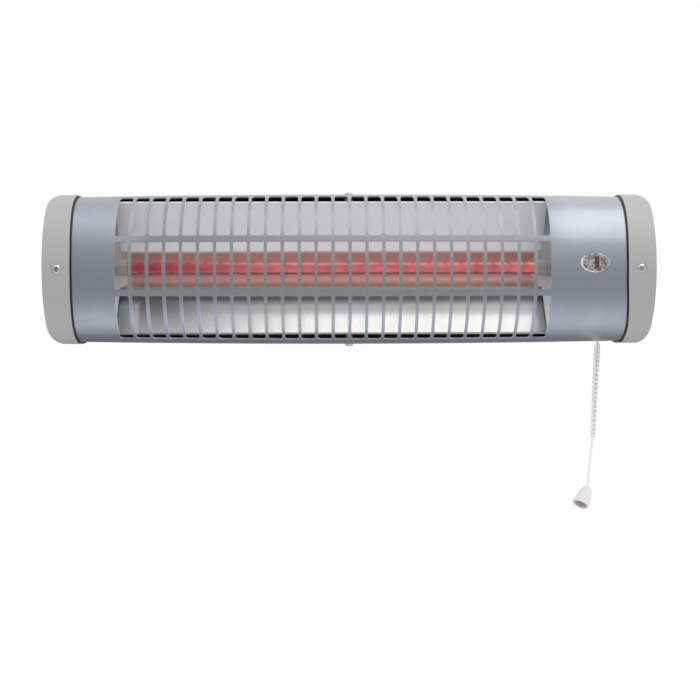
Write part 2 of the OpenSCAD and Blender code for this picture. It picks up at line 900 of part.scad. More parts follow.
// Pull switch: a case in two halves that stands on the housing's bottom wall
case_gap = 5;
cord_from_left = 24;
cord_x = housing_half_w - cord_in;
cord_y = back_y - cover_t - case_gap - case_d / 2;
case_x = cord_x - cord_from_left;
case_front_in = max(axis_y - cord_y + case_d / 2, 0);
case_z = -sqrt(pow(bowed_r(case_x + case_w), 2) - pow(case_front_in, 2)) + sheet_t;
case_wall = 2;
slider_head_up = 27.5;
slider_arm_w = 3;
slider_foot_r = 2.8;
slider_head_r = 5.8;
slider_head_z = case_z + slider_head_up;
slider_head_h = 4;
slider_foot_up = 8.7;
blade_w = 6.3;
blade_t = 0.8;
blade_l = 8;
function blade_x(k) = case_x + k * case_w / 3;
cord_hole_r = 3.4;
eyelet_flange_r = 6;
eyelet_flange_t = 1;
eyelet_drop = bowed_r(cord_x) + case_z + fit;
cam_left = 14.5;
cam_drop = 2;
cam_x = cord_x - cam_left;
cam_r = 6;
cam_z = slider_head_z - cam_drop;
cam_axle_r = 1.5;
cam_teeth = 8;
cam_lean = 6;
cam_root_share = 0.78;
cam_axle_share = 0.6;
module switch_case() {
    difference() {
        translate([case_x, cord_y - case_d / 2, case_z])
            cube([case_w, case_d, case_h]);
        translate([case_x + case_wall, cord_y - case_d / 2 + case_wall, case_z + case_wall])
            cube([case_w - 2 * case_wall, case_d - 2 * case_wall, case_h - 2 * case_wall]);
        translate([cord_x, cord_y, case_z - cut])
            cylinder(r = cord_hole_r, h = case_wall + 2 * cut);
        translate([cord_x, cord_y, case_z - cut])
            cylinder(r = eyelet_flange_r + fit / 2, h = eyelet_flange_t + cut);
        translate([cam_x, cord_y, cam_z])
            rod_y(cam_axle_r + run_gap, -case_d / 2 + case_wall / 2, case_d / 2 - case_wall / 2);
    }
}

module switch_case_back() {
    color([0.9, 0.89, 0.86])
        difference() {
            switch_case();
            translate([case_x - cut, cord_y - case_d, case_z - cut])
                cube([case_w + 2 * cut, case_d, case_h + 2 * cut]);
        }
}

module switch_case_front() {
    color([0.93, 0.92, 0.89])
        difference() {
            switch_case();
            translate([case_x - cut, cord_y, case_z - cut])
                cube([case_w + 2 * cut, case_d, case_h + 2 * cut]);
        }
}

module switch_cam() {
    color([0.85, 0.55, 0.2])
        translate([cam_x, cord_y, cam_z]) {
            along_y(-case_d / 4, case_d / 4)
                polygon([for (i = [0 : cam_teeth - 1])
                    let (a = 360 * i / cam_teeth)
                    each [
                        [cam_r * cos(a), cam_r * sin(a)],
                        cam_r * cam_root_share * [cos(a + cam_lean), sin(a + cam_lean)]
                    ]]);
            rod_y(
                cam_axle_r, -case_d / 2 + case_wall * cam_axle_share,
                case_d / 2 - case_wall * cam_axle_share
            );
        }
}

module switch_terminals() {
    color([0.8, 0.68, 0.35])
        for (k = [1, 2])
            translate([blade_x(k) - blade_w / 2, cord_y - blade_t / 2, case_z + case_h])
                cube([blade_w, blade_t, blade_l]);
}

module pull_slider() {
    color([0.92, 0.92, 0.94])
        translate([cord_x, cord_y, 0]) {
            translate([0, 0, case_z + slider_foot_up])
                cylinder(
                    r = slider_foot_r,
                    h = slider_head_z - case_z - slider_foot_up + slider_head_h / 2
                );
            translate([0, 0, slider_head_z])
                cylinder(r = slider_head_r, h = slider_head_h);
            translate([cam_r + pass_gap - cam_left, -slider_arm_w / 2, slider_head_z])
                cube([cam_left - cam_r - pass_gap, slider_arm_w, slider_head_h]);
        }
}

// Return spring between the case's floor and the slider's head
spring_wire_r = 0.45;
spring_r = 4.6;
spring_turns = 7;
spring_steps = 8;
spring_gap = 0.1;
module return_spring() {
    foot_z = case_z + case_wall + spring_wire_r + spring_gap;
    head_z = slider_head_z - spring_wire_r - spring_gap;
    steps = spring_turns * spring_steps;
    path = [for (i = [0 : steps])
        let (a = 360 * i / spring_steps)
        [
            cord_x + spring_r * cos(a), cord_y + spring_r * sin(a),
            foot_z + (head_z - foot_z) * i / steps
        ]];
    color("silver")
        swept_tube(path, spring_wire_r, 6);
}

module cord_eyelet() {
    color([0.85, 0.85, 0.86])
        translate([cord_x, cord_y, case_z])
            difference() {
                union() {
                    translate([0, 0, -eyelet_drop])
                        cylinder(r = eyelet_r, h = eyelet_drop + eyelet_flange_t / 2);
                    cylinder(r = eyelet_flange_r, h = eyelet_flange_t);
                }
                translate([0, 0, -eyelet_drop - cut])
                    cylinder(r = cord_hole_r - fit, h = eyelet_drop + eyelet_flange_t + 2 * cut);
            }
}

// Pull cord: looped upper length, plain lower length, from the slider to the bell
cord_upper_d = 5;
cord_lower_d = 2.4;
cord_upper_route = [
    [229, -58, -56], [229, -58, -72], [228.5, -58, -84], [227.5, -58, -100],
    [226.5, -58, -120], [225.8, -58, -138], [225, -58, -152]
];
cord_lower_route = [
    [225, -58, -152], [223.5, -58, -163], [221.5, -58, -182], [220, -58, -199]
];
module pull_cord_upper() {
    color([0.93, 0.93, 0.95])
        swept_tube(cord_upper_route, cord_upper_d / 2, 10);
}

module pull_cord_lower() {
    color([0.93, 0.93, 0.95])
        swept_tube(cord_lower_route, cord_lower_d / 2, 8);
}

// Bell: a hollow moulded pull at the cord's end
bell_tilt = 20;
bell_top_r = 3.8;
bell_wall = 1.4;
bell_shoulder = 1;
bell_band = 0.6;
bell_lip = 0.3;
bell_crown_share = 0.7;
bell_waist_share = 0.25;
bell_band_share = 0.12;
bell_inner_share = 0.7;
bell_roof_share = 0.78;
knot_share = 0.36;
cord_end = cord_lower_route[len(cord_lower_route) - 1];
module bell() {
    color([0.92, 0.91, 0.93])
        translate(cord_end)
            rotate([0, bell_tilt, 0])
                translate([0, 0, -bell_l])
                    rotate_extrude()
                        polygon([
                            [0, bell_l],
                            [bell_top_r * bell_crown_share, bell_l],
                            [bell_top_r, bell_l - bell_shoulder],
                            [bell_r - bell_band, bell_l * bell_waist_share],
                            [bell_r, bell_l * bell_band_share],
                            [bell_r - bell_lip, 0],
                            [bell_r - bell_wall, 0],
                            [bell_r - bell_wall, bell_l * bell_band_share],
                            [bell_top_r - bell_wall / 2, bell_l * bell_inner_share],
                            [0, bell_l * bell_roof_share]
                        ]);
}

// The cord's knot, inside the bell
knot_r = 2;
module cord_knot() {
    color([0.93, 0.93, 0.95])
        translate(cord_end)
            rotate([0, bell_tilt, 0])
                translate([0, 0, -bell_l * knot_share])
                    sphere(r = knot_r);
}

// Cable gland in the rear cover, for the supply cord
gland_bore_r = 3.7;
gland_in_l = 6;
gland_nut_t = 4;
gland_flange = 3;
gland_flange_t = 4;
gland_dome = 1.5;
gland_out_l = 12;
gland_lap = 1;
module cable_gland() {
    color([0.12, 0.12, 0.13])
        translate([gland_x, back_y, gland_z])
            difference() {
                union() {
                    rod_y(gland_r, -cover_t - gland_in_l, gland_lap);
                    rod_y(gland_r + gland_flange, -cover_t - gland_nut_t, -cover_t);
                    rod_y(gland_r + gland_flange, 0, gland_flange_t);
                    rod_y(gland_r + gland_dome, gland_flange_t, gland_out_l);
                }
                rod_y(gland_bore_r, -cover_t - gland_in_l - cut, gland_out_l + cut);
            }
}

// Terminal block with its screws
block_in = 45.8;
block_x = housing_half_w - block_in;
block_z = 22;
block_w = 30;
block_h = 16;
block_d = 17;
block_gap = 0.5;
block_step = 2;
block_ways = 3;
way_depth_share = 0.6;
way_bore_r = 2;
way_bore_l = 4;
way_screw_r = 1.9;
way_screw_l = 2.6;
way_screw_gap = 1.4;
slot_deep = 0.6;
slot_wide = 0.6;
function way_x(i) = block_x + block_w * (i + 0.5) / block_ways;
module terminal_block() {
    color([0.9, 0.88, 0.8])
        difference() {
            union() {
                translate([block_x, back_y - cover_t - block_d / 2, block_z])
                    cube([block_w, block_d / 2, block_h]);
                for (i = [0 : block_ways - 1])
                    translate([
                        block_x + block_w * i / block_ways + block_gap,
                        back_y - cover_t - block_d,
                        block_z + block_step
                    ])
                        cube([
                            block_w / block_ways - 2 * block_gap, block_d * way_depth_share,
                            block_h - 2 * block_step
                        ]);
            }
            for (i = [0 : block_ways - 1])
                translate([way_x(i), back_y - cover_t - block_d, block_z + block_h / 2])
                    rod_y(way_bore_r, -cut, way_bore_l);
        }
}

module terminal_screws() {
    color("silver")
        for (i = [0 : block_ways - 1])
            translate([
                way_x(i), back_y - cover_t - block_d + way_screw_gap, block_z + block_h / 2
            ])
                difference() {
                    rod_y(way_screw_r, 0, way_screw_l);
                    translate([-way_bore_r, -cut, -slot_wide / 2])
                        cube([2 * way_bore_r, cut + slot_deep, slot_wide]);
                }
}

// Earth screw: a hexagon screw on a washer, beside the gland
earth_left = 14;
earth_z = -34;
earth_washer_r = 5;
earth_washer_t = 0.8;
earth_head_r = 3.6;
earth_head_t = 2.4;
earth_r = 2;
earth_l = 6;
module earth_screw() {
    color([0.8, 0.68, 0.35])
        translate([gland_x - earth_left, back_y - cover_t, earth_z])
            rotate([90, 0, 0]) {
                cylinder(r = earth_washer_r, h = earth_washer_t);
                translate([0, 0, earth_washer_t])
                    cylinder(r = earth_head_r, h = earth_head_t, $fn = 6);
                cylinder(r = earth_r, h = earth_l);
            }
}

// Sleeved leads: straight runs with rounded corners
wire_r = 1.3;
module wire_run(pts) {
    for (i = [0 : len(pts) - 2]) {
        v = pts[i + 1] - pts[i];
        translate(pts[i])
            rotate([0, acos(v[2] / norm(v)), atan2(v[1], v[0])])
                cylinder(r = wire_r, h = norm(v), $fn = 16);
        if (i > 0)
            translate(pts[i])
                sphere(r = wire_r, $fn = 16);
    }
}

lead_bend = 3;
lead_beside = 8;
wire_in = 15;
wire_back_y = back_y - wire_in;
wire_low_z = -housing_r / 2;
module lead_wire_left() {
    color([0.85, 0.83, 0.78])
        wire_run([
            [element_x - tail_end, tube_y, 0],
            [element_x - tail_end - lead_bend, tube_y, 0],
            [element_x - tail_end - lead_bend, wire_back_y, 0],
            [element_x - tail_end - lead_bend, wire_back_y, wire_low_z],
            [block_x - lead_beside, wire_back_y, wire_low_z],
            [block_x - lead_beside, wire_back_y, block_z + block_h / 2],
            [block_x + block_gap, wire_back_y, block_z + block_h / 2]
        ]);
}

module lead_wire_right() {
    color([0.85, 0.83, 0.78])
        wire_run([
            [element_x + tail_end, tube_y, 0],
            [blade_x(1), tube_y, 0],
            [blade_x(1), cord_y, 0],
            [blade_x(1), cord_y, case_z + case_h + blade_l + fit]
        ]);
}

wall_bracket();
rear_cover();
rear_cover_screws();
tilt_lug(-1);  // tilt_lug_left
tilt_lug(1);  // tilt_lug_right
lug_rivets();
pivot_stud(-1);  // pivot_stud_left
pivot_stud(1);  // pivot_stud_right
friction_washers();
tilt_knob(-1);  // tilt_knob_left
tilt_knob(1);  // tilt_knob_right
front_housing();
end_cap(-1);  // end_cap_left
end_cap(1);  // end_cap_right
gasket(-1);  // gasket_left
gasket(1);  // gasket_right
end_frame(-1);  // end_frame_left
end_frame(1);  // end_frame_right
cap_screws();
housing_screws();
reflector_spacers();
reflector();
reflector_end(-1);  // reflector_end_left
reflector_end(1);  // reflector_end_right
element_saddle(-1);  // element_saddle_left
element_saddle(1);  // element_saddle_right
quartz_tube();
heating_coil();
ceramic_end(-1);  // ceramic_end_left
ceramic_end(1);  // ceramic_end_right
thermal_cutout();
indicator_lens();
lens_clip();
neon_lamp();
switch_case_back();
switch_case_front();
switch_cam();
switch_terminals();
pull_slider();
return_spring();
cord_eyelet();
pull_cord_upper();
pull_cord_lower();
bell();
cord_knot();
cable_gland();
terminal_block();
terminal_screws();
earth_screw();
lead_wire_left();
lead_wire_right();
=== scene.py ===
# Wall-mounted infrared heater: the looks of each piece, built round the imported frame.
import json
import math

import bmesh
import bpy
import numpy as np
from mathutils import Matrix, Vector

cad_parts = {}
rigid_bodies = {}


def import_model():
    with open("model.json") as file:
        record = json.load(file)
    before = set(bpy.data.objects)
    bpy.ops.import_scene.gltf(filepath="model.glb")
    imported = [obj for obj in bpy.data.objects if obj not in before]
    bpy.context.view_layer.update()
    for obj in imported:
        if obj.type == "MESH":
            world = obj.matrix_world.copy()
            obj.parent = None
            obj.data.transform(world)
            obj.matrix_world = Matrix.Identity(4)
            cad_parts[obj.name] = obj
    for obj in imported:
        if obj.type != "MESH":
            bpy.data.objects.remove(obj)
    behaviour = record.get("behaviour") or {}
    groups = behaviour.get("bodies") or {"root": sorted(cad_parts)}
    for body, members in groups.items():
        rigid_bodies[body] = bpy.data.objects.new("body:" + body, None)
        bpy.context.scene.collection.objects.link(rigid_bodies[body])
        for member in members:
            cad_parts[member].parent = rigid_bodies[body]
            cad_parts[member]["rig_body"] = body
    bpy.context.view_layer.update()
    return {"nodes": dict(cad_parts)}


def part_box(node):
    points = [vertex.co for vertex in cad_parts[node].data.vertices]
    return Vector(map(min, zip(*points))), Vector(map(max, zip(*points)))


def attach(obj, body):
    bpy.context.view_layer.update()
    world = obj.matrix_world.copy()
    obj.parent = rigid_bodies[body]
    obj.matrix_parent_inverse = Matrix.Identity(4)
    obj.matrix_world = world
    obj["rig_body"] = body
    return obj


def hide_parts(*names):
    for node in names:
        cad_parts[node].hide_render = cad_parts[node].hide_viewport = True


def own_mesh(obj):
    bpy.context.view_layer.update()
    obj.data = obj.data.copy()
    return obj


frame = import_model()
nodes = frame["nodes"]
scene = bpy.context.scene
MM = 0.001

# Camera
# It stands about a metre and a half in front of the heater and a little below its
# middle, level, with a long lens, as in the photograph.
def add_object(name, data):
    """Adds an object to the scene."""
    made = bpy.data.objects.new(name, data)
    scene.collection.objects.link(made)
    return made


EYE = Vector((-17.9, -1537.1, -73.6)) * MM
YAW = math.radians(0.733)
ROLL = math.radians(-0.136)
FOCAL_PX = 1607.8
FRAME_PX = 700
SENSOR_MM = 36
camera_data = bpy.data.cameras.new("camera")
camera_data.sensor_width = SENSOR_MM
camera_data.lens = FOCAL_PX * SENSOR_MM / FRAME_PX
camera_data.clip_start = 0.05
camera_data.clip_end = 60
camera = add_object("camera", camera_data)
forward = Vector((math.sin(YAW), math.cos(YAW), 0))
level_right = Vector((math.cos(YAW), -math.sin(YAW), 0))
camera_right = math.cos(ROLL) * level_right + math.sin(ROLL) * Vector((0, 0, 1))
camera_up = camera_right.cross(forward)
camera_turn = Matrix((camera_right, camera_up, -forward)).transposed()
camera.matrix_world = Matrix.Translation(EYE) @ camera_turn.to_4x4()
scene.camera = camera


# Pull cord
# One length of braided white polyester cord. Below the housing it is looped into a
# chain of stitches, each drawn through the one above, and its end hangs plain.
def add_node(tree, kind, inputs=None, **settings):
    """Adds one node to a tree and feeds its inputs with values, sockets or nodes."""
    made = tree.nodes.new(kind)
    for key, value in settings.items():
        setattr(made, key, value)
    for key, value in (inputs or {}).items():
        if isinstance(key, str):
            key = next(i for i, s in enumerate(made.inputs) if s.enabled and s.name == key)
        feed(made.inputs[key], value)
    return made


def result(node):
    """The first output of a node that is in use."""
    return next(out for out in node.outputs if out.enabled)


def feed(socket, value):
    """Gives one input socket a value, another node's socket, or a node's result."""
    if isinstance(value, bpy.types.Node):
        value = result(value)
    if isinstance(value, bpy.types.NodeSocket):
        socket.id_data.links.new(value, socket)
    else:
        socket.default_value = value


def calc(operation, *values, kind="Math"):
    """The result of one operation on values and sockets, in the first socket's tree."""
    tree = next(value.id_data for value in values if hasattr(value, "id_data"))
    return result(
        add_node(tree, "ShaderNode" + kind, dict(enumerate(values)), operation=operation))


def vector_calc(operation, *values):
    """The result of one operation on vectors."""
    return calc(operation, *values, kind="VectorMath")


def times(first, *others):
    """The product of a socket with other sockets or values."""
    for other in others:
        first = calc("MULTIPLY", first, other)
    return first


def ramp(value, low, high, at_low=0.0, at_high=1.0, smooth=False):
    """A value between two limits, as a straight or smooth rise from one tone to another."""
    return add_node(value.id_data, "ShaderNodeMapRange", {
        "Value": value, "From Min": low, "From Max": high, "To Min": at_low, "To Max": at_high},
        interpolation_type="SMOOTHSTEP" if smooth else "LINEAR").outputs["Result"]


def blend(factor, first, second):
    """The mix of two colours, each a socket or three values."""
    first, second = ((*c, 1) if isinstance(c, tuple) else c for c in (first, second))
    return result(add_node(factor.id_data, "ShaderNodeMix", {
        "Factor": factor, "A": first, "B": second}, data_type="RGBA"))


def parts(vector):
    """The X, Y and Z of a vector, as sockets."""
    return add_node(vector.id_data, "ShaderNodeSeparateXYZ", {0: vector}).outputs


class Group:
    """A node group in the making, with named sockets and their kinds."""

    def __init__(self, name, tree_type, inputs, outputs):
        self.node_tree = bpy.data.node_groups.new(name, tree_type)
        self.identifiers = {}
        for way, sockets in (("INPUT", inputs), ("OUTPUT", outputs)):
            for label, kind in sockets.items():
                made = self.node_tree.interface.new_socket(
                    label, in_out=way, socket_type="NodeSocket" + kind)
                self.identifiers.setdefault(label, made.identifier)
        self.start = self.node_tree.nodes.new("NodeGroupInput")
        self.end = self.node_tree.nodes.new("NodeGroupOutput")

    def __getitem__(self, label):
        return self.start.outputs[label]

    def put(self, label, value):
        feed(self.end.inputs[label], value)


class GeometryGroup(Group):
    """A Geometry Nodes tree that ends in Realize Instances and Set Material."""

    def __init__(self, name, values, **others):
        inputs = {**dict.fromkeys(values.split(), "Float"), **others, "material": "Material"}
        super().__init__(name, "GeometryNodeTree", inputs, {"Geometry": "Geometry"})

    def node(self, kind, inputs=None, **settings):
        return add_node(self.node_tree, "GeometryNode" + kind, inputs, **settings)

    def vector(self, x=0.0, y=0.0, z=0.0):
        return add_node(
            self.node_tree, "ShaderNodeCombineXYZ", {"X": x, "Y": y, "Z": z}).outputs[0]

    def given(self, label):
        """The geometry of the object that the tree is given under a name."""
        return self.node("ObjectInfo", {"Object": self[label]},
                         transform_space="ORIGINAL").outputs["Geometry"]

    def join(self, *pieces):
        made = self.node("JoinGeometry")
        for piece in pieces:
            feed(made.inputs[0], piece)
        return made.outputs[0]

    def close(self, geometry):
        real = self.node("RealizeInstances", {"Geometry": geometry})
        self.put("Geometry", self.node("SetMaterial", {
            "Geometry": real, "Material": self["material"]}))

    def run(self, name, **values):
        """Runs the tree with these values and returns its result as a plain mesh."""
        carrier = add_object("carrier", bpy.data.meshes.new("carrier"))
        modifier = carrier.modifiers.new("tree", "NODES")
        modifier.node_group = self.node_tree
        for label, value in values.items():
            modifier[self.identifiers[label]] = value
        depsgraph = bpy.context.evaluated_depsgraph_get()
        mesh = bpy.data.meshes.new_from_object(
            carrier.evaluated_get(depsgraph), depsgraph=depsgraph)
        bpy.data.objects.remove(carrier)
        mesh.name = name
        return mesh


def shader(owner, kind, inputs=None, **settings):
    """Adds one shader node to a material, the world or a group of shader nodes."""
    return add_node(owner.node_tree, "ShaderNode" + kind, inputs, **settings)


def wire(material, **sources):
    """Feeds sockets or values to the material's Principled shader, by its sockets' names."""
    sockets = material.node_tree.nodes["Principled BSDF"].inputs
    for label, value in sources.items():
        feed(sockets[label.replace("_", " ")], value)


def new_material(name, **values):
    """A material, with plain values on the sockets of its Principled shader."""
    made = bpy.data.materials.new(name)
    made.use_nodes = True
    wire(made, **values)
    return made


def own_place(material):
    """The place on the piece, in the piece's own axes."""
    return shader(material, "TexCoord").outputs["Object"]


def marked(material, label):
    """The value that the mesh carries under a name."""
    return shader(material, "Attribute", {}, attribute_name=label).outputs["Fac"]


def smooth_by_angle(mesh, degrees=30):
    """Smooth shading, with sharp edges where faces meet at more than an angle."""
    shape = bmesh.new()
    shape.from_mesh(mesh)
    limit = math.radians(degrees)
    for face in shape.faces:
        face.smooth = True
    for edge in shape.edges:
        edge.smooth = len(edge.link_faces) == 2 and edge.calc_face_angle(0) < limit
    shape.to_mesh(mesh)
    shape.free()


def new_piece(name, mesh, stands_for, material=None, degrees=30, body="heater"):
    """A finished mesh as a piece that rides on a body in place of CAD nodes."""
    piece = add_object(name, mesh)
    smooth_by_angle(mesh, degrees)
    if material is not None:
        mesh.materials.clear()
        mesh.materials.append(material)
    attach(piece, body)
    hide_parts(*stands_for)
    return piece


# The braid of the cord: strands that cross in both directions, in the cord's own UV
# map, where U goes once round the strand and V is the length along it in metres.
braid = Group(
    "braid", "ShaderNodeTree",
    {"Coordinate": "Vector", "Strands": "Float", "Picks": "Float", "Colour": "Color",
     "Shade": "Float"},
    {"Colour": "Color", "Height": "Float"})
braid_u, braid_v, _ = parts(braid["Coordinate"])
braid_round = times(braid_u, braid["Strands"])
braid_along = times(braid_v, braid["Picks"])
braid_top = calc("MAXIMUM", *(
    calc("ABSOLUTE", calc("SINE", times(calc(sense, braid_round, braid_along), math.pi)))
    for sense in ("ADD", "SUBTRACT")))
# The grooves between the strands are painted darker grey, as painted shade.
braid.put("Colour", blend(
    ramp(braid_top, 0.3, 0.95, braid["Shade"], 0.0), braid["Colour"], (0.3, 0.3, 0.34)))
braid.put("Height", braid_top)

cord_fibre = new_material("cord_fibre", Roughness=0.78, Sheen_Weight=0.3)
cord_lay = shader(cord_fibre, "Group", {
    "Coordinate": shader(cord_fibre, "UVMap", uv_map="UVMap"),
    "Strands": 6.0, "Picks": 900.0, "Colour": (0.95, 0.95, 0.96, 1), "Shade": 0.12,
}, node_tree=braid.node_tree)
# The strand behind the stitches is painted grey-lavender, as painted shade between the stitches.
wire(cord_fibre,
     Base_Color=blend(marked(cord_fibre, "deep"), cord_lay.outputs["Colour"], (0.6, 0.58, 0.65)),
     Normal=shader(cord_fibre, "Bump", {
         "Height": cord_lay.outputs["Height"], "Strength": 0.5, "Distance": 0.2 * MM}))

# The route is the part's own: straight out of the slider, down through the eyelet, and
# then a slight lean to the left, to the bell. The chain's last stitch is at CHAIN_END.
CORD_ROUTE = [
    (229, -58, -56), (229, -58, -72), (228.5, -58, -84), (227.5, -58, -100),
    (226.5, -58, -120), (225.8, -58, -138), (225, -58, -152), (223.5, -58, -163),
    (221.5, -58, -182), (219.9, -58, -200.5),
]
CHAIN_TOP = -71 * MM
CHAIN_END = -152 * MM
CORD_D, STRAND_D = 5.0, 2.3


def smooth_route(points, steps):
    """Points in metres on one smooth curve through a route in millimetres."""
    p = np.array([points[0]] + list(points) + [points[-1]], float)
    p[0] = 2 * p[1] - p[2]
    p[-1] = 2 * p[-2] - p[-3]
    out = []
    for i in range(1, len(p) - 2):
        for t in np.arange(steps) / steps:
            a, b, c, d = p[i - 1:i + 3]
            out.append(0.5 * (2 * b + (c - a) * t + (2 * a - 5 * b + 4 * c - d) * t ** 2
                              + (3 * b - a - 3 * c + d) * t ** 3))
    out.append(p[-2])
    return np.array(out) * MM


cord_line = smooth_route(CORD_ROUTE, 6)


def poly_curve(name, top, bottom):
    """The stretch of the cord's line between two heights, as a curve for a tree to follow."""
    points = np.array([p for p in cord_line if bottom <= p[2] <= top])
    data = bpy.data.curves.new(name, "CURVE")
    data.dimensions = "3D"
    spline = data.splines.new("POLY")
    spline.points.add(len(points) - 1)
    spline.points.foreach_set("co", np.column_stack([points, np.ones(len(points))]).ravel())
    return add_object(name, data)


def store_lay(group, curve, profile):
    """A tube along a curve, with the UV map that the braid follows."""
    kept = [
        group.node("StoreNamedAttribute", {
            "Geometry": line, "Name": label,
            "Value": group.node("SplineParameter").outputs[way]}, domain="POINT")
        for line, label, way in ((curve, "along", "Length"), (profile, "round", "Factor"))]
    tube = group.node("CurveToMesh", {
        "Curve": kept[0], "Profile Curve": kept[1], "Fill Caps": True})
    read = [group.node("InputNamedAttribute", {"Name": label}, data_type="FLOAT").outputs[0]
            for label in ("round", "along")]
    return group.node("StoreNamedAttribute", {
        "Geometry": tube, "Name": "UVMap", "Value": group.vector(*read)},
        data_type="FLOAT2", domain="CORNER")


plain_cord = GeometryGroup("plain_cord", "radius", route="Object", sides="Int")
plain_cord.close(store_lay(
    plain_cord, plain_cord.given("route"), plain_cord.node("CurvePrimitiveCircle", {
        "Resolution": plain_cord["sides"], "Radius": plain_cord["radius"]})))

# A stitch is a slanting loop of the strand, longer than the step to the next one, so
# that it passes behind the stitch above and in front of the stitch below.
chain = GeometryGroup(
    "cord_chain", "step loop_width loop_length lean strand narrowing", route="Object")
chain_points = chain.node("CurveToPoints", {
    "Curve": chain.given("route"), "Length": chain["step"]}, mode="LENGTH")
loop = chain.node("CurvePrimitiveCircle", {"Resolution": 22, "Radius": 1.0})
loop_x, loop_y, _ = parts(chain.node("InputPosition"))
loop_side = times(loop_x, chain["loop_width"], calc("ADD", 0.72, times(loop_y, -0.28)))
loop_out = times(calc("SINE", times(calc("ARCTAN2", loop_y, loop_x), 2.0)), chain["strand"])
loop_deep = calc("ADD", times(loop_y, chain["lean"]), times(loop_out, 0.25))
loop_shaped = chain.node("SetPosition", {"Geometry": loop, "Position": chain.vector(
    loop_side, loop_deep, times(loop_y, chain["loop_length"]))})
loop_tube = store_lay(chain, loop_shaped, chain.node("CurvePrimitiveCircle", {
    "Resolution": 9, "Radius": chain["strand"]}))
stitch_size = calc("SUBTRACT", 1.0, times(chain.node("InputIndex"), chain["narrowing"]))
stitches = chain.node("InstanceOnPoints", {
    "Points": chain_points.outputs["Points"], "Instance": loop_tube,
    "Scale": chain.vector(stitch_size, stitch_size, 1.0)})
chain.close(chain.node("RotateInstances", {
    "Instances": stitches, "Rotation": chain.vector(0.0, math.radians(16), math.radians(8))}))

plain_strand = {"radius": STRAND_D / 2 * MM, "sides": 14}
stitched = {"step": 4.2 * MM, "loop_width": 2.9 * MM, "loop_length": 3.1 * MM,
            "lean": -0.8 * MM, "strand": 0.88 * MM, "narrowing": 0.009}
cord_shape = bmesh.new()
for cord_name, cord_tree, cord_top, cord_bottom, cord_values, cord_painted_shade in (
    ("in_switch", plain_cord, 0.0, CHAIN_TOP - 2 * MM, plain_strand, 0.0),
    ("hanging", plain_cord, CHAIN_END + 0.5 * MM, -1.0, plain_strand, 0.0),
    ("chain", chain, CHAIN_TOP, CHAIN_END - 0.1 * MM, stitched, 0.0),
    ("stitch_backs", plain_cord, CHAIN_TOP, CHAIN_END - 0.1 * MM,
     {"radius": 0.8 * MM, "sides": 5}, 1.0),
):
    cord_run = poly_curve(cord_name, cord_top, cord_bottom)
    cord_mesh = cord_tree.run(cord_name, route=cord_run, material=cord_fibre, **cord_values)
    bpy.data.objects.remove(cord_run)
    cord_marks = cord_mesh.attributes.new("deep", "FLOAT", "POINT")
    cord_marks.data.foreach_set("value", [cord_painted_shade] * len(cord_mesh.vertices))
    cord_shape.from_mesh(cord_mesh)
whole_cord = bpy.data.meshes.new("pull_cord")
cord_shape.to_mesh(whole_cord)
cord_shape.free()
pull_cord = new_piece(
    "pull_cord", whole_cord, ["pull_cord_upper", "pull_cord_lower"], cord_fibre,
    degrees=60, body="pull")


# Front housing
# One steel sheet of a millimetre in silver-blue metallic paint. It is punched flat with
# three rows of slots, then rolled half round, and its long edges are turned in for the
# rear cover. The roll is a little larger at the middle than at the two ends.
grain = Group(
    "grain", "ShaderNodeTree",
    {"Coordinate": "Vector", "Stretch": "Vector", "Size": "Float", "Colour": "Color",
     "Shade": "Color", "Amount": "Float", "Roughness": "Float", "Spread": "Float"},
    {"Colour": "Color", "Roughness": "Float", "Height": "Float"})
grain_place = vector_calc("MULTIPLY", grain["Coordinate"], grain["Stretch"])
grain_fine = shader(grain, "TexNoise", {
    "Vector": grain_place, "Scale": grain["Size"], "Detail": 3.0, "Roughness": 0.6})
grain_broad = shader(grain, "TexNoise", {
    "Vector": grain_place, "Scale": times(grain["Size"], 0.05), "Detail": 2.0})
grain_both = calc("MULTIPLY_ADD", grain_fine, 0.6, times(grain_broad, 0.4))
grain.put("Colour", blend(
    ramp(grain_both, 0.38, 0.62, 0.0, grain["Amount"]), grain["Colour"], grain["Shade"]))
grain.put("Roughness", calc(
    "MULTIPLY_ADD", calc("SUBTRACT", grain_broad, 0.5), grain["Spread"], grain["Roughness"]))
grain.put("Height", grain_fine)


def add_look(material, group, size, colour, shade, **values):
    """Puts a group's colour and roughness on a material, and returns the group's node."""
    look = shader(material, "Group", {
        "Coordinate": own_place(material), "Size": float(size), "Colour": (*colour, 1),
        "Shade": (*shade, 1), **values}, node_tree=group.node_tree)
    look.name = "look"
    wire(material, Base_Color=look.outputs["Colour"], Roughness=look.outputs["Roughness"])
    return look


def grained(name, colour, shade, size, amount, rough, spread, bump, stretch=(1, 1, 1), **values):
    """A material with the grain group on its colour, roughness and height (bump in mm)."""
    material = new_material(name, **values)
    look = add_look(material, grain, size, colour, shade, Stretch=stretch, Amount=amount,
                    Roughness=rough, Spread=spread)
    wire(material, Normal=shader(material, "Bump", {
        "Height": look.outputs["Height"], "Strength": 1.0, "Distance": bump * MM}))
    return material


def look_colour(material):
    """The colour that comes from the material's grain or spangle group."""
    return material.node_tree.nodes["look"].outputs["Colour"]


def own_normal(material):
    """The surface's normal in the piece's own axes, so that it turns with the piece."""
    return shader(material, "VectorTransform", {
        "Vector": shader(material, "NewGeometry").outputs["Normal"]},
        vector_type="NORMAL", convert_from="WORLD", convert_to="OBJECT").outputs[0]


def camera_ray(material):
    """One where the camera looks at the surface directly, and nothing for reflected light."""
    return shader(material, "LightPath").outputs["Is Camera Ray"]


def paint(material, *names, slot=None):
    """Gives CAD nodes their material; the slot that it works out from the name is not used."""
    # A material's name has a dot and a number after it where the frame has that name too.
    slot = slot or material.name.split(".")[0]
    for name in names:
        for place in nodes[name].material_slots:
            place.material = material


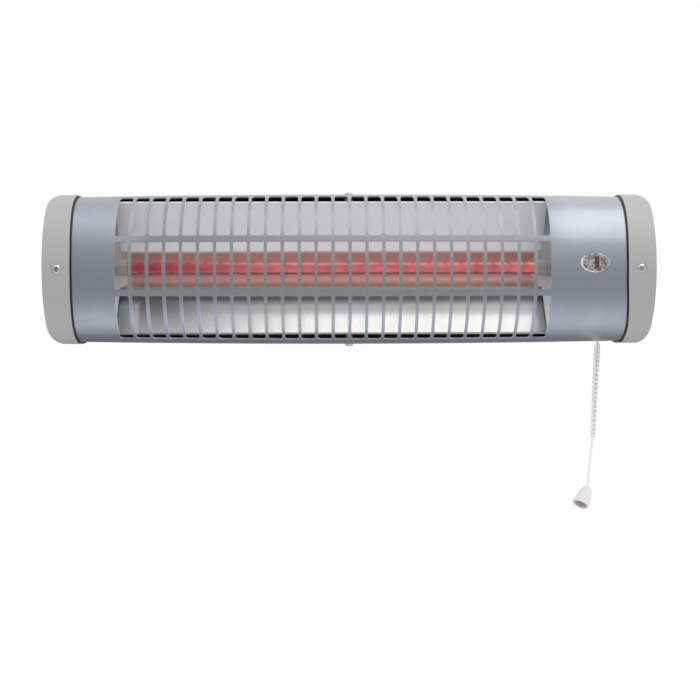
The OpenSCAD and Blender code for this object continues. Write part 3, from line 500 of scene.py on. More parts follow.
SHEET = 1.0
HALF_W = 241.8
ROLL_R = 65.6
ROLL_BOW = 2.2
BOW_R = (HALF_W ** 2 + ROLL_BOW ** 2) / (2 * ROLL_BOW)
REAR_Y = -43.0
FRONT_Y = -140.0
AXIS_Y = FRONT_Y + ROLL_R + ROLL_BOW
FOLD_R = 1.6
QUARTER = ROLL_R * math.pi / 2
STRAIGHT = REAR_Y - FOLD_R - AXIS_Y
STEPS_TO_FOLD, STEPS_TO_EDGE = 54, 58
STEP = (QUARTER + STRAIGHT) / STEPS_TO_FOLD
SLOT_PITCH = 14.75
SLOT_COUNT = 26
GRILLE_X = -14.5
LENS_X, LENS_Z = 214.3, 2.2
CORD_X, CORD_Y = CORD_ROUTE[0][:2]
# Near black, painted as painted shade on inner faces that the camera sees.
PAINTED_SHADE_BLACK = (0.02, 0.02, 0.022)

housing_paint = grained(
    "housing_paint", (0.47, 0.5, 0.56), (0.4, 0.43, 0.49), 900, 0.7, 0.36, 0.06, 0.012,
    Metallic=0.75, Coat_Weight=0.25, Coat_Roughness=0.12)
coat_normal = own_normal(housing_paint)
coat_place = own_place(housing_paint)
coat_x, _, coat_z = parts(coat_place)
# The punched edges are rounded, and painted pale and less metallic as a painted highlight where
# they catch light.
painted_edge_highlight = ramp(calc("ABSOLUTE", parts(coat_normal)[0]), 0.3, 0.6, 0.0, 0.8)
# Between the two lamps the upper ribs are painted dark, as a painted reflection of the dark room,
# and the inside faces that the camera sees are painted near black, as painted shade.
ribs_painted_reflection = times(
    ramp(calc("ABSOLUTE", coat_x), 165 * MM, 198 * MM, 0.34, 0.0, smooth=True),
    ramp(coat_z, 10 * MM, 24 * MM, smooth=True),
    ramp(coat_z, 50 * MM, 60 * MM, 1.0, 0.2, smooth=True))
from_axis = vector_calc(
    "MULTIPLY", vector_calc("SUBTRACT", coat_place, (0, AXIS_Y * MM, 0)), (0, 1, 1))
outward = vector_calc("DOT_PRODUCT", coat_normal, from_axis)
is_inside = times(calc("LESS_THAN", outward, -10 * MM), camera_ray(housing_paint))
coat_outside = blend(
    painted_edge_highlight, blend(ribs_painted_reflection, look_colour(housing_paint), (0.06, 0.07, 0.085)),
    (0.9, 0.91, 0.94))
wire(housing_paint, Base_Color=blend(is_inside, coat_outside, PAINTED_SHADE_BLACK),
     Metallic=calc("MULTIPLY_ADD", painted_edge_highlight, -0.8, 0.75))

punched = GeometryGroup(
    "punched_blank",
    "width height sheet pitch first slot_width middle_length upper_length lower_length bar "
    "corner lens_x lens_z lens_width lens_height cord_x cord_s cord_hole screw_s screw_hole",
    columns="Int")
blank = punched.node("MeshCube", {
    "Size": punched.vector(punched["width"], punched["height"], punched["sheet"]),
    "Vertices X": 25, "Vertices Y": 2 * STEPS_TO_EDGE + 1, "Vertices Z": 2})


def cutter(curve, x, s):
    """A closed flat curve made into a punch that goes through the blank at a place."""
    face = punched.node("FillCurve", {"Curve": curve})
    solid = punched.node("ExtrudeMesh", {
        "Mesh": face, "Offset": (0, 0, 1), "Offset Scale": 0.02, "Individual": False})
    closed = punched.node("MergeByDistance", {
        "Geometry": punched.join(solid, punched.node("FlipFaces", {"Mesh": face})),
        "Distance": 1e-6})
    return punched.node("Transform", {
        "Geometry": closed, "Translation": punched.vector(x, s, -0.01)})


def slot_punch(length, s):
    """The punch of one slot, a rectangle with slightly rounded corners."""
    outline = punched.node("CurvePrimitiveQuadrilateral", {
        "Width": punched["slot_width"], "Height": length})
    return cutter(punched.node("FilletCurve", {
        "Curve": outline, "Count": 4, "Radius": punched["corner"], "Limit Radius": True},
        mode="POLY"), 0.0, s)


def round_punch(radius, x, s, squash=1.0):
    """The punch of one round hole, or of an oval one where it is squashed."""
    ring = punched.node("CurvePrimitiveCircle", {"Resolution": 40, "Radius": radius})
    return cutter(punched.node("Transform", {
        "Geometry": ring, "Scale": punched.vector(1.0, squash, 1.0)}), x, s)


def cut_away(group, solid, cutters):
    """A solid with the room of the cutters taken out of it."""
    made = group.node("MeshBoolean", {"Mesh 1": solid}, operation="DIFFERENCE", solver="EXACT")
    for one in cutters:
        feed(made.inputs["Mesh 2"], one)
    return made


slots = [slot_punch(punched["middle_length"], 0.0)]
for slot_length, slot_side in ((punched["upper_length"], 1.0), (punched["lower_length"], -1.0)):
    slot_middle = calc("ADD", punched["bar"], times(
        calc("ADD", punched["middle_length"], slot_length), 0.5))
    slots.append(slot_punch(slot_length, times(slot_middle, slot_side)))
columns = punched.node("InstanceOnPoints", {
    "Points": punched.node("MeshLine", {
        "Count": punched["columns"], "Start Location": punched.vector(punched["first"]),
        "Offset": punched.vector(punched["pitch"])}),
    "Instance": punched.join(*slots)})
punched.close(cut_away(punched, blank, [
    punched.node("RealizeInstances", {"Geometry": columns}),
    round_punch(
        times(punched["lens_width"], 0.5), punched["lens_x"],
        punched["lens_z"], calc("DIVIDE", punched["lens_height"], punched["lens_width"])),
    round_punch(punched["cord_hole"], punched["cord_x"], punched["cord_s"]),
    *(round_punch(punched["screw_hole"], 0.0, times(punched["screw_s"], side))
      for side in (1.0, -1.0))]))


def points_of(mesh):
    """The mesh's points in millimetres, one row for each axis."""
    flat = np.empty(len(mesh.vertices) * 3)
    mesh.vertices.foreach_get("co", flat)
    return flat.reshape(-1, 3).T / MM


def put_points(mesh, x, y, z):
    """Moves the mesh's points to new places in millimetres."""
    mesh.vertices.foreach_set("co", (np.column_stack([x, y, z]) * MM).ravel())
    mesh.update()


def end_lift(x, z):
    """How far the ends of the sheet and the edges of the caps step back at top and bottom."""
    top = np.where(x < 0, 1.6, 1.4)
    bottom = np.where(x < 0, 1.4, 3.8)
    share = np.clip((np.abs(z) - 12) / 42, 0, 1)
    return np.sign(x) * share ** 1.2 * np.where(z > 0, top, bottom)


def roll(mesh):
    """Rolls the flat blank: X stays, Y is the way round the sheet, and Z its depth."""
    x, s, lift = points_of(mesh)
    depth = SHEET / 2 - lift
    r = ROLL_R + ROLL_BOW - BOW_R + np.sqrt(BOW_R ** 2 - x ** 2)
    way = np.abs(s)
    angle = np.minimum(way, QUARTER) / ROLL_R
    run = np.clip(way - QUARTER, 0, STRAIGHT)
    fold = np.clip(way - QUARTER - STRAIGHT, 0, STEP) / STEP * math.pi / 2
    lip = np.maximum(way - QUARTER - STRAIGHT - STEP, 0)
    y = AXIS_Y - (r - depth) * np.cos(angle) + run
    z = (r - depth) * np.sin(angle)
    in_fold = fold > 0
    y = np.where(in_fold, REAR_Y - FOLD_R + (FOLD_R - depth) * np.sin(fold), y)
    z = np.where(in_fold, r - FOLD_R + (FOLD_R - depth) * np.cos(fold) - lip, z)
    z = np.sign(s) * z
    put_points(mesh, x + np.where(np.abs(x) > HALF_W - 0.1, end_lift(x, z), 0), y, z)


def soften(piece, name, width, degrees):
    """Rounds the edges where faces meet at more than an angle (width in mm)."""
    rounding = piece.modifiers.new(name, "BEVEL")
    rounding.width = width * MM
    rounding.segments = 2
    rounding.limit_method = "ANGLE"
    rounding.angle_limit = math.radians(degrees)


housing_mesh = punched.run(
    "housing_sheet", width=2 * HALF_W * MM, height=2 * STEPS_TO_EDGE * STEP * MM,
    sheet=SHEET * MM, columns=SLOT_COUNT, pitch=SLOT_PITCH * MM,
    first=(GRILLE_X - (SLOT_COUNT - 1) / 2 * SLOT_PITCH) * MM, slot_width=11.9 * MM,
    middle_length=42 * MM, upper_length=56.6 * MM, lower_length=54.4 * MM, bar=5.6 * MM,
    corner=1.5 * MM, lens_x=LENS_X * MM, lens_z=LENS_Z * MM, lens_width=26.0 * MM,
    lens_height=17.2 * MM, cord_x=CORD_X * MM, cord_s=-(QUARTER + CORD_Y - AXIS_Y) * MM,
    cord_hole=4.7 * MM, screw_s=QUARTER * MM, screw_hole=1.85 * MM, material=housing_paint)
roll(housing_mesh)
soften(new_piece("housing_sheet", housing_mesh, ["front_housing"],
                 degrees=25), "cut_edges", 0.42, 60)


# End caps and seals
# Two moulded caps of light grey plastic close the ends. A black rubber seal lies between
# each cap and the sheet, and a steel frame behind it takes the cap's screw.
cap_plastic = grained(
    "cap_plastic", (0.42, 0.42, 0.422), (0.4, 0.4, 0.402), 1500, 0.5, 0.42, 0.08, 0.02)
seal_rubber = grained(
    "seal_rubber", (0.012, 0.012, 0.013), (0.03, 0.03, 0.03), 1200, 0.8, 0.62, 0.2, 0.03)
CAP_END, CAP_CORNER, CAP_EDGE = 267.5, 14.0, 243.5
UPPER_CORNER, LOWER_LEFT_CORNER, LOWER_RIGHT_CORNER = 12.5, 9.5, 7.0


def fitted_end(node, material):
    """A cap or seal whose edge follows the sheet's end, with the photo's tighter corners."""
    mesh = nodes[node].data.copy()
    x, y, z = points_of(mesh)
    out = np.abs(x)
    corner = np.where(z > 0, UPPER_CORNER, np.where(x < 0, LOWER_LEFT_CORNER, LOWER_RIGHT_CORNER))
    tall = np.clip((np.abs(z) - 32) / 14, 0, 1)
    squared = CAP_END - np.clip((CAP_END - out) / CAP_CORNER, 0, 1) * corner
    along = np.clip((out - CAP_EDGE) / (CAP_END - CAP_CORNER - CAP_EDGE), 0, 1)
    straight_end = CAP_EDGE + along * (CAP_END - corner - CAP_EDGE)
    new_out = np.where(out > CAP_END - CAP_CORNER, squared,
                       np.where(out < CAP_EDGE, out, straight_end))
    out = out + tall * (new_out - out)
    put_points(mesh, np.sign(x) * out + np.where(out < CAP_EDGE + 4, end_lift(x, z), 0), y, z)
    kept_normals = mesh.attributes.get("custom_normal")
    if kept_normals is not None:
        mesh.attributes.remove(kept_normals)
    return new_piece(node + "_seen", mesh, [node], material, degrees=28)


for end_side in ("left", "right"):
    soften(fitted_end("end_cap_" + end_side, cap_plastic), "moulded_edges", 0.7, 55)
    fitted_end("gasket_" + end_side, seal_rubber)


# Screws
# Plated steel pan heads with a cross recess: one in each cap, one in the middle of the
# housing's top and bottom edge, and six that hold the rear cover.
screw = GeometryGroup(
    "cross_screw",
    "head_radius head_height shank_radius shank_length recess_length recess_width spin",
    places="Object")
half_head = screw.vector(z=times(screw["head_height"], 0.5))
head = screw.node("MeshCylinder", {
    "Vertices": 40, "Side Segments": 1, "Fill Segments": 7,
    "Radius": screw["head_radius"], "Depth": screw["head_height"]})
head_x, head_y, head_z = parts(screw.node("InputPosition"))
out_share = calc(
    "DIVIDE",
    calc("ADD", calc("POWER", head_x, 2.0), calc("POWER", head_y, 2.0)),
    calc("POWER", screw["head_radius"], 2.0))
dome_drop = times(
    calc("POWER", out_share, 1.6), -0.72, screw["head_height"],
    calc("GREATER_THAN", head_z, 0.0))
domed = screw.node("SetPosition", {"Geometry": head, "Offset": screw.vector(z=dome_drop)})
recess_bar = screw.node("MeshCube", {"Size": screw.vector(
    screw["recess_length"], screw["recess_width"], screw["head_height"])})
recessed = cut_away(screw, domed, [
    screw.node("Transform", {
        "Geometry": recess_bar, "Rotation": (0, 0, bar_turn), "Translation": half_head})
    for bar_turn in (0.0, math.pi / 2)])
head_up = screw.node("Transform", {
    "Geometry": recessed, "Translation": half_head,
    "Rotation": screw.vector(z=screw["spin"])})
shank_down = screw.node("Transform", {
    "Geometry": screw.node("MeshCylinder", {
        "Vertices": 24, "Radius": screw["shank_radius"], "Depth": screw["shank_length"]}),
    "Translation": screw.vector(z=times(screw["shank_length"], -0.5))})
screw.close(screw.node("InstanceOnPoints", {
    "Points": screw.given("places"), "Instance": screw.join(head_up, shank_down),
    "Rotation": add_node(screw.node_tree, "FunctionNodeAlignRotationToVector", {
        "Vector": screw.node("InputNamedAttribute", {"Name": "facing"}, data_type="FLOAT_VECTOR"),
    }, axis="Z")}))


def mesh_from(name, points, faces):
    """A mesh from points in millimetres."""
    mesh = bpy.data.meshes.new(name)
    mesh.from_pydata([Vector(point) * MM for point in points], [], faces)
    return mesh


def facing_points(places, facing):
    """Loose points that carry the direction in which each repeated piece faces."""
    mesh = mesh_from("places", places, [])
    kept = mesh.attributes.new("facing", "FLOAT_VECTOR", "POINT")
    kept.data.foreach_set("vector", np.ravel(np.array(facing, float)))
    return add_object("places", mesh)


screw_chrome = grained(
    "screw_chrome", (0.78, 0.79, 0.8), (0.62, 0.63, 0.65), 2500, 0.5, 0.2, 0.12, 0.01, Metallic=1.0)
CAP_SCREW_X, CAP_SCREW_Y = 254.7, -138.9
for screw_node, screw_places, screw_ways, shank_length, spin_degrees in (
    ("cap_screws", [(s * CAP_SCREW_X, CAP_SCREW_Y, -2.7) for s in (-1, 1)], [(0, -1, 0)] * 2,
     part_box("cap_screws")[1][1] / MM - CAP_SCREW_Y, 45),
    ("housing_screws", [(0, AXIS_Y, s * (ROLL_R + ROLL_BOW)) for s in (-1, 1)],
     [(0, 0, -1), (0, 0, 1)], 11.5, 20),
    ("rear_cover_screws", [(x, REAR_Y, s * 61.1) for x in (-221.8, 0, 221.8) for s in (-1, 1)],
     [(0, 1, 0)] * 6, REAR_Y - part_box("rear_cover_screws")[0][1] / MM, 65),
):
    screw_seats = facing_points(screw_places, screw_ways)
    screw_mesh = screw.run(
        screw_node, places=screw_seats, head_radius=3.9 * MM, head_height=2.2 * MM,
        shank_radius=1.75 * MM, shank_length=(shank_length - 0.1) * MM,
        recess_length=4.4 * MM, recess_width=0.9 * MM, spin=math.radians(spin_degrees),
        material=screw_chrome)
    bpy.data.objects.remove(screw_seats)
    new_piece(screw_node + "_seen", screw_mesh, [screw_node])


# Reflector
# Bright rolled aluminium: a folded sheet with a round trough behind the tube, and two
# slanted plates that close its ends. The trough is painted brown, as a painted reflection
# of the tube's glow.
reflector_sheet = grained(
    "reflector_sheet", (0.95, 0.965, 1.0), (0.92, 0.935, 0.98), 2600, 0.5, 0.2, 0.06, 0.002,
    stretch=(0.03, 1, 1), Metallic=0.45)
bright_x, _, bright_z = parts(own_place(reflector_sheet))
trough_painted_glow = times(
    ramp(bright_z, 13.5 * MM, 16 * MM, 0.85, 0.0, smooth=True),
    ramp(bright_z, -22 * MM, -7 * MM, 0.1, 1.0))
# A painted shadow lies as a dark band along the top of the lower wing, and the wing's
# left end is painted dark for camera rays, as a painted reflection of the darker room,
# but for a narrow strip at its edge.
below_trough = ramp(bright_z, -21 * MM, -17 * MM, 1.0, 0.0, smooth=True)
painted_shadow_band = times(ramp(bright_z, -34 * MM, -27 * MM, 0.0, 0.8, smooth=True), below_trough)
painted_dark_left = times(
    ramp(bright_x, -178 * MM, -105 * MM, 0.72, 0.0, smooth=True),
    ramp(bright_z, -57 * MM, -30 * MM, 0.4, 1.0),
    ramp(bright_x, -191 * MM, -188 * MM), below_trough, camera_ray(reflector_sheet))
clean_sheet = blend(
    ramp(bright_z, -15 * MM, 15 * MM), (0.96, 1.0, 0.99),
    look_colour(reflector_sheet))
sheet_with_painted_shade = blend(calc("MAXIMUM", painted_shadow_band, painted_dark_left), clean_sheet, (0.1, 0.1, 0.11))
wire(reflector_sheet, Base_Color=blend(trough_painted_glow, sheet_with_painted_shade, (0.6, 0.23, 0.17)),
     Roughness=calc("MULTIPLY_ADD", trough_painted_glow, 0.35, 0.2),
     Metallic=ramp(bright_z, -12 * MM, 14 * MM, 0.92, 0.05))

end_sheet = grained(
    "end_sheet", (0.52, 0.54, 0.57), (0.4, 0.42, 0.46), 2600, 0.5, 0.3, 0.06, 0.002,
    stretch=(1, 0.03, 1), Metallic=0.15)
# The end plates are painted paler towards the bottom and darker towards the top, as painted light
# and shade.
wire(end_sheet, Base_Color=vector_calc(
    "MULTIPLY", look_colour(end_sheet),
    ramp(parts(own_place(end_sheet))[2], -45 * MM, 50 * MM, 1.95, 0.3)))
paint(end_sheet, "reflector_end_left", "reflector_end_right", slot="reflector_sheet")
TROUGH_Y, TROUGH_R = -86.0, 17.0
WING_Y, WING_Z = -80.5, 16.1
LIP_Y, LIP_Z = -95.0, 60.0
REFLECTOR_T = 0.7


def swept_sheet(name, section, x_low, x_high, thickness):
    """A sheet with one section in Y and Z, along X, with its thickness on the left of its run."""
    path = np.array(section, float)
    run = np.gradient(path, axis=0)
    run /= np.linalg.norm(run, axis=1)[:, None]
    back = path + thickness * np.column_stack([-run[:, 1], run[:, 0]])
    ring = np.vstack([path, back[::-1]])
    count = len(ring)
    points = [(x, y, z) for x in (x_low, x_high) for y, z in ring]
    faces = [(i, (i + 1) % count, count + (i + 1) % count, count + i) for i in range(count)]
    for base, step in ((0, 1), (count, -1)):
        for i in range(len(path) - 1):
            face = (base + i, base + count - 1 - i, base + count - 2 - i, base + i + 1)
            faces.append(face[::step])
    return mesh_from(name, points, faces)


half_section = [(-67.0, LIP_Z - 0.3), (LIP_Y + 1, LIP_Z - 0.3), (LIP_Y, LIP_Z - 0.8), (LIP_Y, 58.2)]
for wing_share in np.linspace(1, 0, 15):
    half_section.append((WING_Y + (LIP_Y + 1.2 - WING_Y) * wing_share ** 2,
                         WING_Z + (57.6 - WING_Z) * wing_share))
for trough_angle in np.linspace(
        math.asin((WING_Y - TROUGH_Y) / TROUGH_R), math.pi / 2, 12)[1:]:
    half_section.append((TROUGH_Y + TROUGH_R * math.sin(trough_angle),
                         TROUGH_R * math.cos(trough_angle)))
whole_section = half_section + [(y, -z) for y, z in half_section[-2::-1]]
reflector_mesh = swept_sheet(
    "reflector_seen", whole_section, *(corner[0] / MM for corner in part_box("reflector")),
    REFLECTOR_T)
new_piece("reflector_seen", reflector_mesh, ["reflector"],
          reflector_sheet, degrees=26)


# Heating element
# A milky quartz tube with a coil of resistance wire drawn through it, which glows red when
# the heater is on. Each end sits in a ceramic cap on a steel saddle.
glow = Group(
    "coil_glow", "ShaderNodeTree", {"Coordinate": "Vector", "Pitch": "Float"},
    {"Colour": "Color", "Strength": "Float"})
glow_x, _, glow_z = parts(glow["Coordinate"])
# The top and bottom edges of the tube are painted dark red, as painted shade.
glow_edge = ramp(calc("ABSOLUTE", glow_z), 3 * MM, 5.2 * MM, smooth=True)
glow_turns = calc("SINE", times(calc("DIVIDE", glow_x, glow["Pitch"]), 2 * math.pi))
glow_left = ramp(glow_x, -180 * MM, -50 * MM, smooth=True)
glow_patches = shader(glow, "TexNoise", {
    "Vector": vector_calc("MULTIPLY", glow["Coordinate"], (1, 4, 4)), "Scale": 70.0, "Detail": 1.0})
glow_core = blend(glow_left, (0.2, 0.025, 0.03), (0.54, 0.14, 0.14))
glow.put("Colour", blend(glow_edge, glow_core, (0.1, 0.004, 0.008)))
glow.put("Strength", calc(
    "ADD", 0.3, calc("MULTIPLY_ADD", glow_turns, 0.06, calc(
        "MULTIPLY", glow_patches, 0.8))))

quartz = new_material(
    "quartz", Base_Color=(0.2, 0.03, 0.04, 1), Roughness=0.12, Coat_Weight=1.0,
    Coat_Roughness=0.05, IOR=1.46)
quartz_glow = shader(quartz, "Group", {
    "Coordinate": own_place(quartz), "Pitch": 13.2 * MM}, node_tree=glow.node_tree)
wire(quartz, Emission_Color=quartz_glow.outputs["Colour"],
     Emission_Strength=quartz_glow.outputs["Strength"])
paint(quartz, "quartz_tube")

coil_wire = grained(
    "coil_wire", (0.25, 0.22, 0.2), (0.12, 0.1, 0.1), 1500, 0.6, 0.5, 0.1, 0.01, Metallic=0.7,
    Emission_Color=(1.0, 0.18, 0.05, 1), Emission_Strength=1.5)
wound = GeometryGroup("wound_wire", "turns top_radius length wire", sides="Int")
wound.close(wound.node("CurveToMesh", {
    "Curve": wound.node("CurveSpiral", {
        "Resolution": 20, "Rotations": wound["turns"], "Start Radius": wound["top_radius"],
        "End Radius": wound["top_radius"], "Height": wound["length"]}),
    "Profile Curve": wound.node("CurvePrimitiveCircle", {
        "Resolution": wound["sides"], "Radius": wound["wire"]}),
    "Fill Caps": True}))


def spring_between(name, node, turns, wire_radius, material, turn):
    """A smooth wound wire in the space of a CAD node, which it then stands for."""
    low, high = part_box(node)
    size = high - low
    length = max(size) - 2 * wire_radius
    mesh = wound.run(
        name, turns=turns, top_radius=min(size) / 2 - wire_radius, length=length,
        wire=wire_radius, sides=8, material=material)
    mesh.transform(Matrix.Translation((low + high) / 2) @ turn
                   @ Matrix.Translation((0, 0, -length / 2)))
    return new_piece(name, mesh, [node], degrees=60, body=nodes[node]["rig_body"])


spring_between("coil_seen", "heating_coil", 30, 0.35 * MM, coil_wire,
               Matrix.Rotation(math.pi / 2, 4, "Y"))
paint(
    grained("ceramic", (0.42, 0.42, 0.37), (0.36, 0.35, 0.31), 900, 0.6, 0.6, 0.1, 0.03),
    "ceramic_end_left", "ceramic_end_right")


# Indicator lens
# A clear oval moulding with small pyramids on its face, which clips into the sheet. The
# neon lamp behind it stands upright, with dark electrodes in reddish glass.
LENS_HALF_W, LENS_HALF_H = 12.95, 8.55
LENS_RINGS, LENS_SIDES = 40, 128
PYRAMID_PITCH = 2.6
facets = Group(
    "facets", "ShaderNodeTree", {"Coordinate": "Vector", "Size": "Float"}, {"Colour": "Color"})
facet_x, _, facet_z = parts(facets["Coordinate"])
facet_cells = shader(facets, "TexVoronoi", {
    "Vector": facets["Coordinate"], "Scale": facets["Size"]})
facet_tone = ramp(parts(facet_cells.outputs["Color"])[0], 0.15, 0.85, 0.13, 0.5)
facet_colour = shader(facets, "CombineColor", {
    "Red": facet_tone, "Green": times(facet_tone, 0.96),
    "Blue": times(facet_tone, 0.94)}).outputs[0]
# The lamp behind shows as a dark upright streak painted on the lens, and the lens is
# painted pale along its lower left rim, as a painted highlight.
streak_across = calc("ABSOLUTE", calc("SUBTRACT", facet_x, 1.2 * MM))
streak_up = times(calc("ABSOLUTE", facet_z), 0.36)
streak = ramp(calc("MAXIMUM", streak_across, streak_up), 1.4 * MM, 2.6 * MM, 0.92, 0.0, smooth=True)
facet_out = vector_calc("LENGTH", vector_calc(
    "DIVIDE", vector_calc("MULTIPLY", facets["Coordinate"], (1, 0, 1)),
    (LENS_HALF_W * MM, 1, LENS_HALF_H * MM)))
facet_rim_highlight = times(
    ramp(facet_out, 0.84, 0.93, 0.0, 0.85),
    ramp(calc("ADD", facet_x, facet_z), -9 * MM, 0.0, 1.0, 0.15))
facets.put("Colour", blend(
    facet_rim_highlight, blend(streak, facet_colour, (0.09, 0.022, 0.016)),
    (0.93, 0.93, 0.93)))

lens_clear = new_material("lens_clear", Roughness=0.16, IOR=1.49, Transmission_Weight=0.12)
lens_place = vector_calc("SUBTRACT", own_place(lens_clear), (LENS_X * MM, -136 * MM, LENS_Z * MM))
wire(lens_clear, Base_Color=shader(lens_clear, "Group", {
    "Coordinate": lens_place, "Size": 620.0}, node_tree=facets.node_tree))


def round_way(sides):
    """The cosine and the sine of each of the sides round a ring."""
    angles = [2 * math.pi * j / sides for j in range(sides)]
    return [(math.cos(angle), math.sin(angle)) for angle in angles]


def ring_faces(rings, sides):
    """Faces from a middle point out to the first ring, and from each ring to the next."""
    faces = [(0, 1 + j, 1 + (j + 1) % sides) for j in range(sides)]
    for a in range(1, 1 + (rings - 1) * sides, sides):
        b = a + sides
        faces += [(a + j, b + j, b + (j + 1) % sides, a + (j + 1) % sides) for j in range(sides)]
    return faces


def lens_surface():
    """The lens as rings from its middle out to its edge, then back along its sides."""
    front_y = AXIS_Y - (ROLL_R + ROLL_BOW - BOW_R + math.sqrt(BOW_R ** 2 - LENS_X ** 2))
    points = [(LENS_X, front_y - 0.9, LENS_Z)]
    for out in np.arange(1, LENS_RINGS + 1) / LENS_RINGS:
        for across, up in round_way(LENS_SIDES):
            x, z = LENS_HALF_W * out * across, LENS_HALF_H * out * up
            ridges = sum(abs((v / PYRAMID_PITCH) % 1.0 - 0.5) for v in (x + z, x - z))
            lift = 1.6 * (1 - out ** 4) - 0.6 * ridges * min(1.0, 4 * (1 - out))
            points.append((LENS_X + x, front_y - max(lift, 0.02), LENS_Z + z))
    side_rings = ((LENS_HALF_W, LENS_HALF_H, 2.2), (14.4, 10.0, 2.4), (14.4, 10.0, 4.0),
                  (11, 7, 4.0), (11, 7, 2.0))
    for half_w, half_h, depth in side_rings:
        points += [(LENS_X + half_w * across, front_y + depth, LENS_Z + half_h * up)
                   for across, up in round_way(LENS_SIDES)]
    faces = ring_faces(LENS_RINGS + len(side_rings), LENS_SIDES)
    faces.append(range(len(points) - LENS_SIDES, len(points)))
    return mesh_from("lens", points, faces)


new_piece("lens", lens_surface(), ["indicator_lens"], lens_clear,
          degrees=12)
paint(
    new_material(
        "neon_glass", Base_Color=(0.06, 0.012, 0.008, 1), Roughness=0.3, IOR=1.46,
        Coat_Weight=0.6, Emission_Color=(0.5, 0.08, 0.03, 1), Emission_Strength=0.05),
    "neon_lamp")


# Bell pull
# A hollow bell of white plastic with rounded shoulders. The cord comes in through its
# crown, and a knot inside holds it.
bell_plastic = grained(
    "bell_plastic", (0.86, 0.84, 0.87), (0.82, 0.8, 0.84), 1200, 0.5, 0.35, 0.03, 0.001)
# The inside of the bell is painted a darker beige, as painted shade in its hollow.
wire(bell_plastic, Base_Color=blend(
    marked(bell_plastic, "hollow"), look_colour(bell_plastic),
    (0.58, 0.52, 0.47)))
BELL_L = 19.4
BELL_LEAN = math.radians(25)
BELL_FORWARD = math.radians(-30)
BELL_SIDES = 64
INNER_LIP = (6.2, 2.4)
bell_outline = [
    (1.3, BELL_L - 0.05), (2.5, BELL_L - 0.3), (3.5, BELL_L - 0.9), (4.3, BELL_L - 1.9),
    (4.9, BELL_L - 3.4), (5.4, BELL_L - 5.6), (6.05, BELL_L - 9), (6.7, BELL_L - 12.5),
    (7.2, BELL_L - 15.5), (7.45, 3.4), (7.6, 2.6), (7.6, 2.0), (7.6, 0.7), (7.45, 0.2), (7.1, 0),
    (6.5, 0), (6.2, 0.3), INNER_LIP, (5.4, 6), (4.4, 11), (3.4, 14.6), (2.4, 15.9)]
bell_points = [(0, 0, BELL_L)]
for bell_radius, bell_z in bell_outline:
    bell_points += [(bell_radius * across, bell_radius * along, bell_z)
                    for across, along in round_way(BELL_SIDES)]
bell_points.append((0, 0, 16.2))
bell_end = len(bell_points) - 1
bell_ring = bell_end - BELL_SIDES
bell_faces = ring_faces(len(bell_outline), BELL_SIDES)
bell_faces += [(bell_end, bell_ring + (j + 1) % BELL_SIDES, bell_ring + j)
               for j in range(BELL_SIDES)]
bell_mesh = mesh_from("bell_seen", bell_points, bell_faces)
hollow_from = 1 + BELL_SIDES * bell_outline.index(INNER_LIP)
bell_marks = bell_mesh.attributes.new("hollow", "FLOAT", "POINT")
bell_marks.data.foreach_set("value", [float(i >= hollow_from) for i in range(len(bell_points))])
bell_mesh.transform(
    Matrix.Translation(Vector(CORD_ROUTE[-1]) * MM) @ Matrix.Rotation(BELL_FORWARD, 4, "X")
    @ Matrix.Rotation(BELL_LEAN, 4, "Y") @ Matrix.Translation((0, 0, -BELL_L * MM)))
bell_seen = new_piece(
    "bell_seen", bell_mesh, ["bell"], bell_plastic, degrees=40, body="pull")
paint(cord_fibre, "cord_knot")


# Pull switch
# A cream plastic case in two halves, in which a slider on a spring turns a cam by one
# tooth for each pull. An eyelet of the same plastic guides the cord through the sheet.
paint(
    grained("switch_plastic", (0.72, 0.69, 0.6), (0.66, 0.62, 0.53), 1300, 0.5, 0.45, 0.08, 0.02),
    "switch_case_back", "switch_case_front", "pull_slider", "cord_eyelet", "terminal_block")
paint(
    grained("brass", (0.75, 0.58, 0.27), (0.55, 0.4, 0.17), 1600, 0.6, 0.28, 0.15, 0.01,
            Metallic=1.0),
    "switch_terminals", "terminal_screws", "earth_screw")
spring_steel = grained(
    "spring_steel", (0.5, 0.51, 0.53), (0.35, 0.36, 0.38), 2000, 0.5, 0.3, 0.1, 0.01, Metallic=1.0)
return_spring_seen = spring_between(
    "spring_seen", "return_spring", 7, 0.4 * MM, spring_steel, Matrix.Identity(4))
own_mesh(return_spring_seen)


# Rear cover, frames and wiring
# Plain galvanised sheet closes the back and stiffens the ends. A moulded terminal block,
# an earth screw and two sleeved leads lie behind the reflector, with a gland for the cord.
spangle = Group(
    "spangle", "ShaderNodeTree",
    {"Coordinate": "Vector", "Size": "Float", "Colour": "Color", "Shade": "Color"},
    {"Colour": "Color", "Roughness": "Float"})
spangle_cells = shader(spangle, "TexVoronoi", {
    "Vector": spangle["Coordinate"], "Scale": spangle["Size"]})
spangle_streaks = shader(spangle, "TexNoise", {
    "Vector": spangle["Coordinate"], "Scale": times(spangle["Size"], 6.0),
    "Detail": 2.0})
spangle_tone = calc(
    "MULTIPLY_ADD", parts(spangle_cells.outputs["Color"])[0], 0.7,
    times(spangle_streaks, 0.3))
spangle.put("Colour", blend(spangle_tone, spangle["Colour"], spangle["Shade"]))
spangle.put("Roughness", calc("MULTIPLY_ADD", spangle_tone, 0.2, 0.32))


def galvanised(name, colour, shade, size):
    """Zinc-coated steel, with the crystals of the coating in its colour and roughness."""
    material = new_material(name, Metallic=0.85)
    add_look(material, spangle, size, colour, shade)
    return material
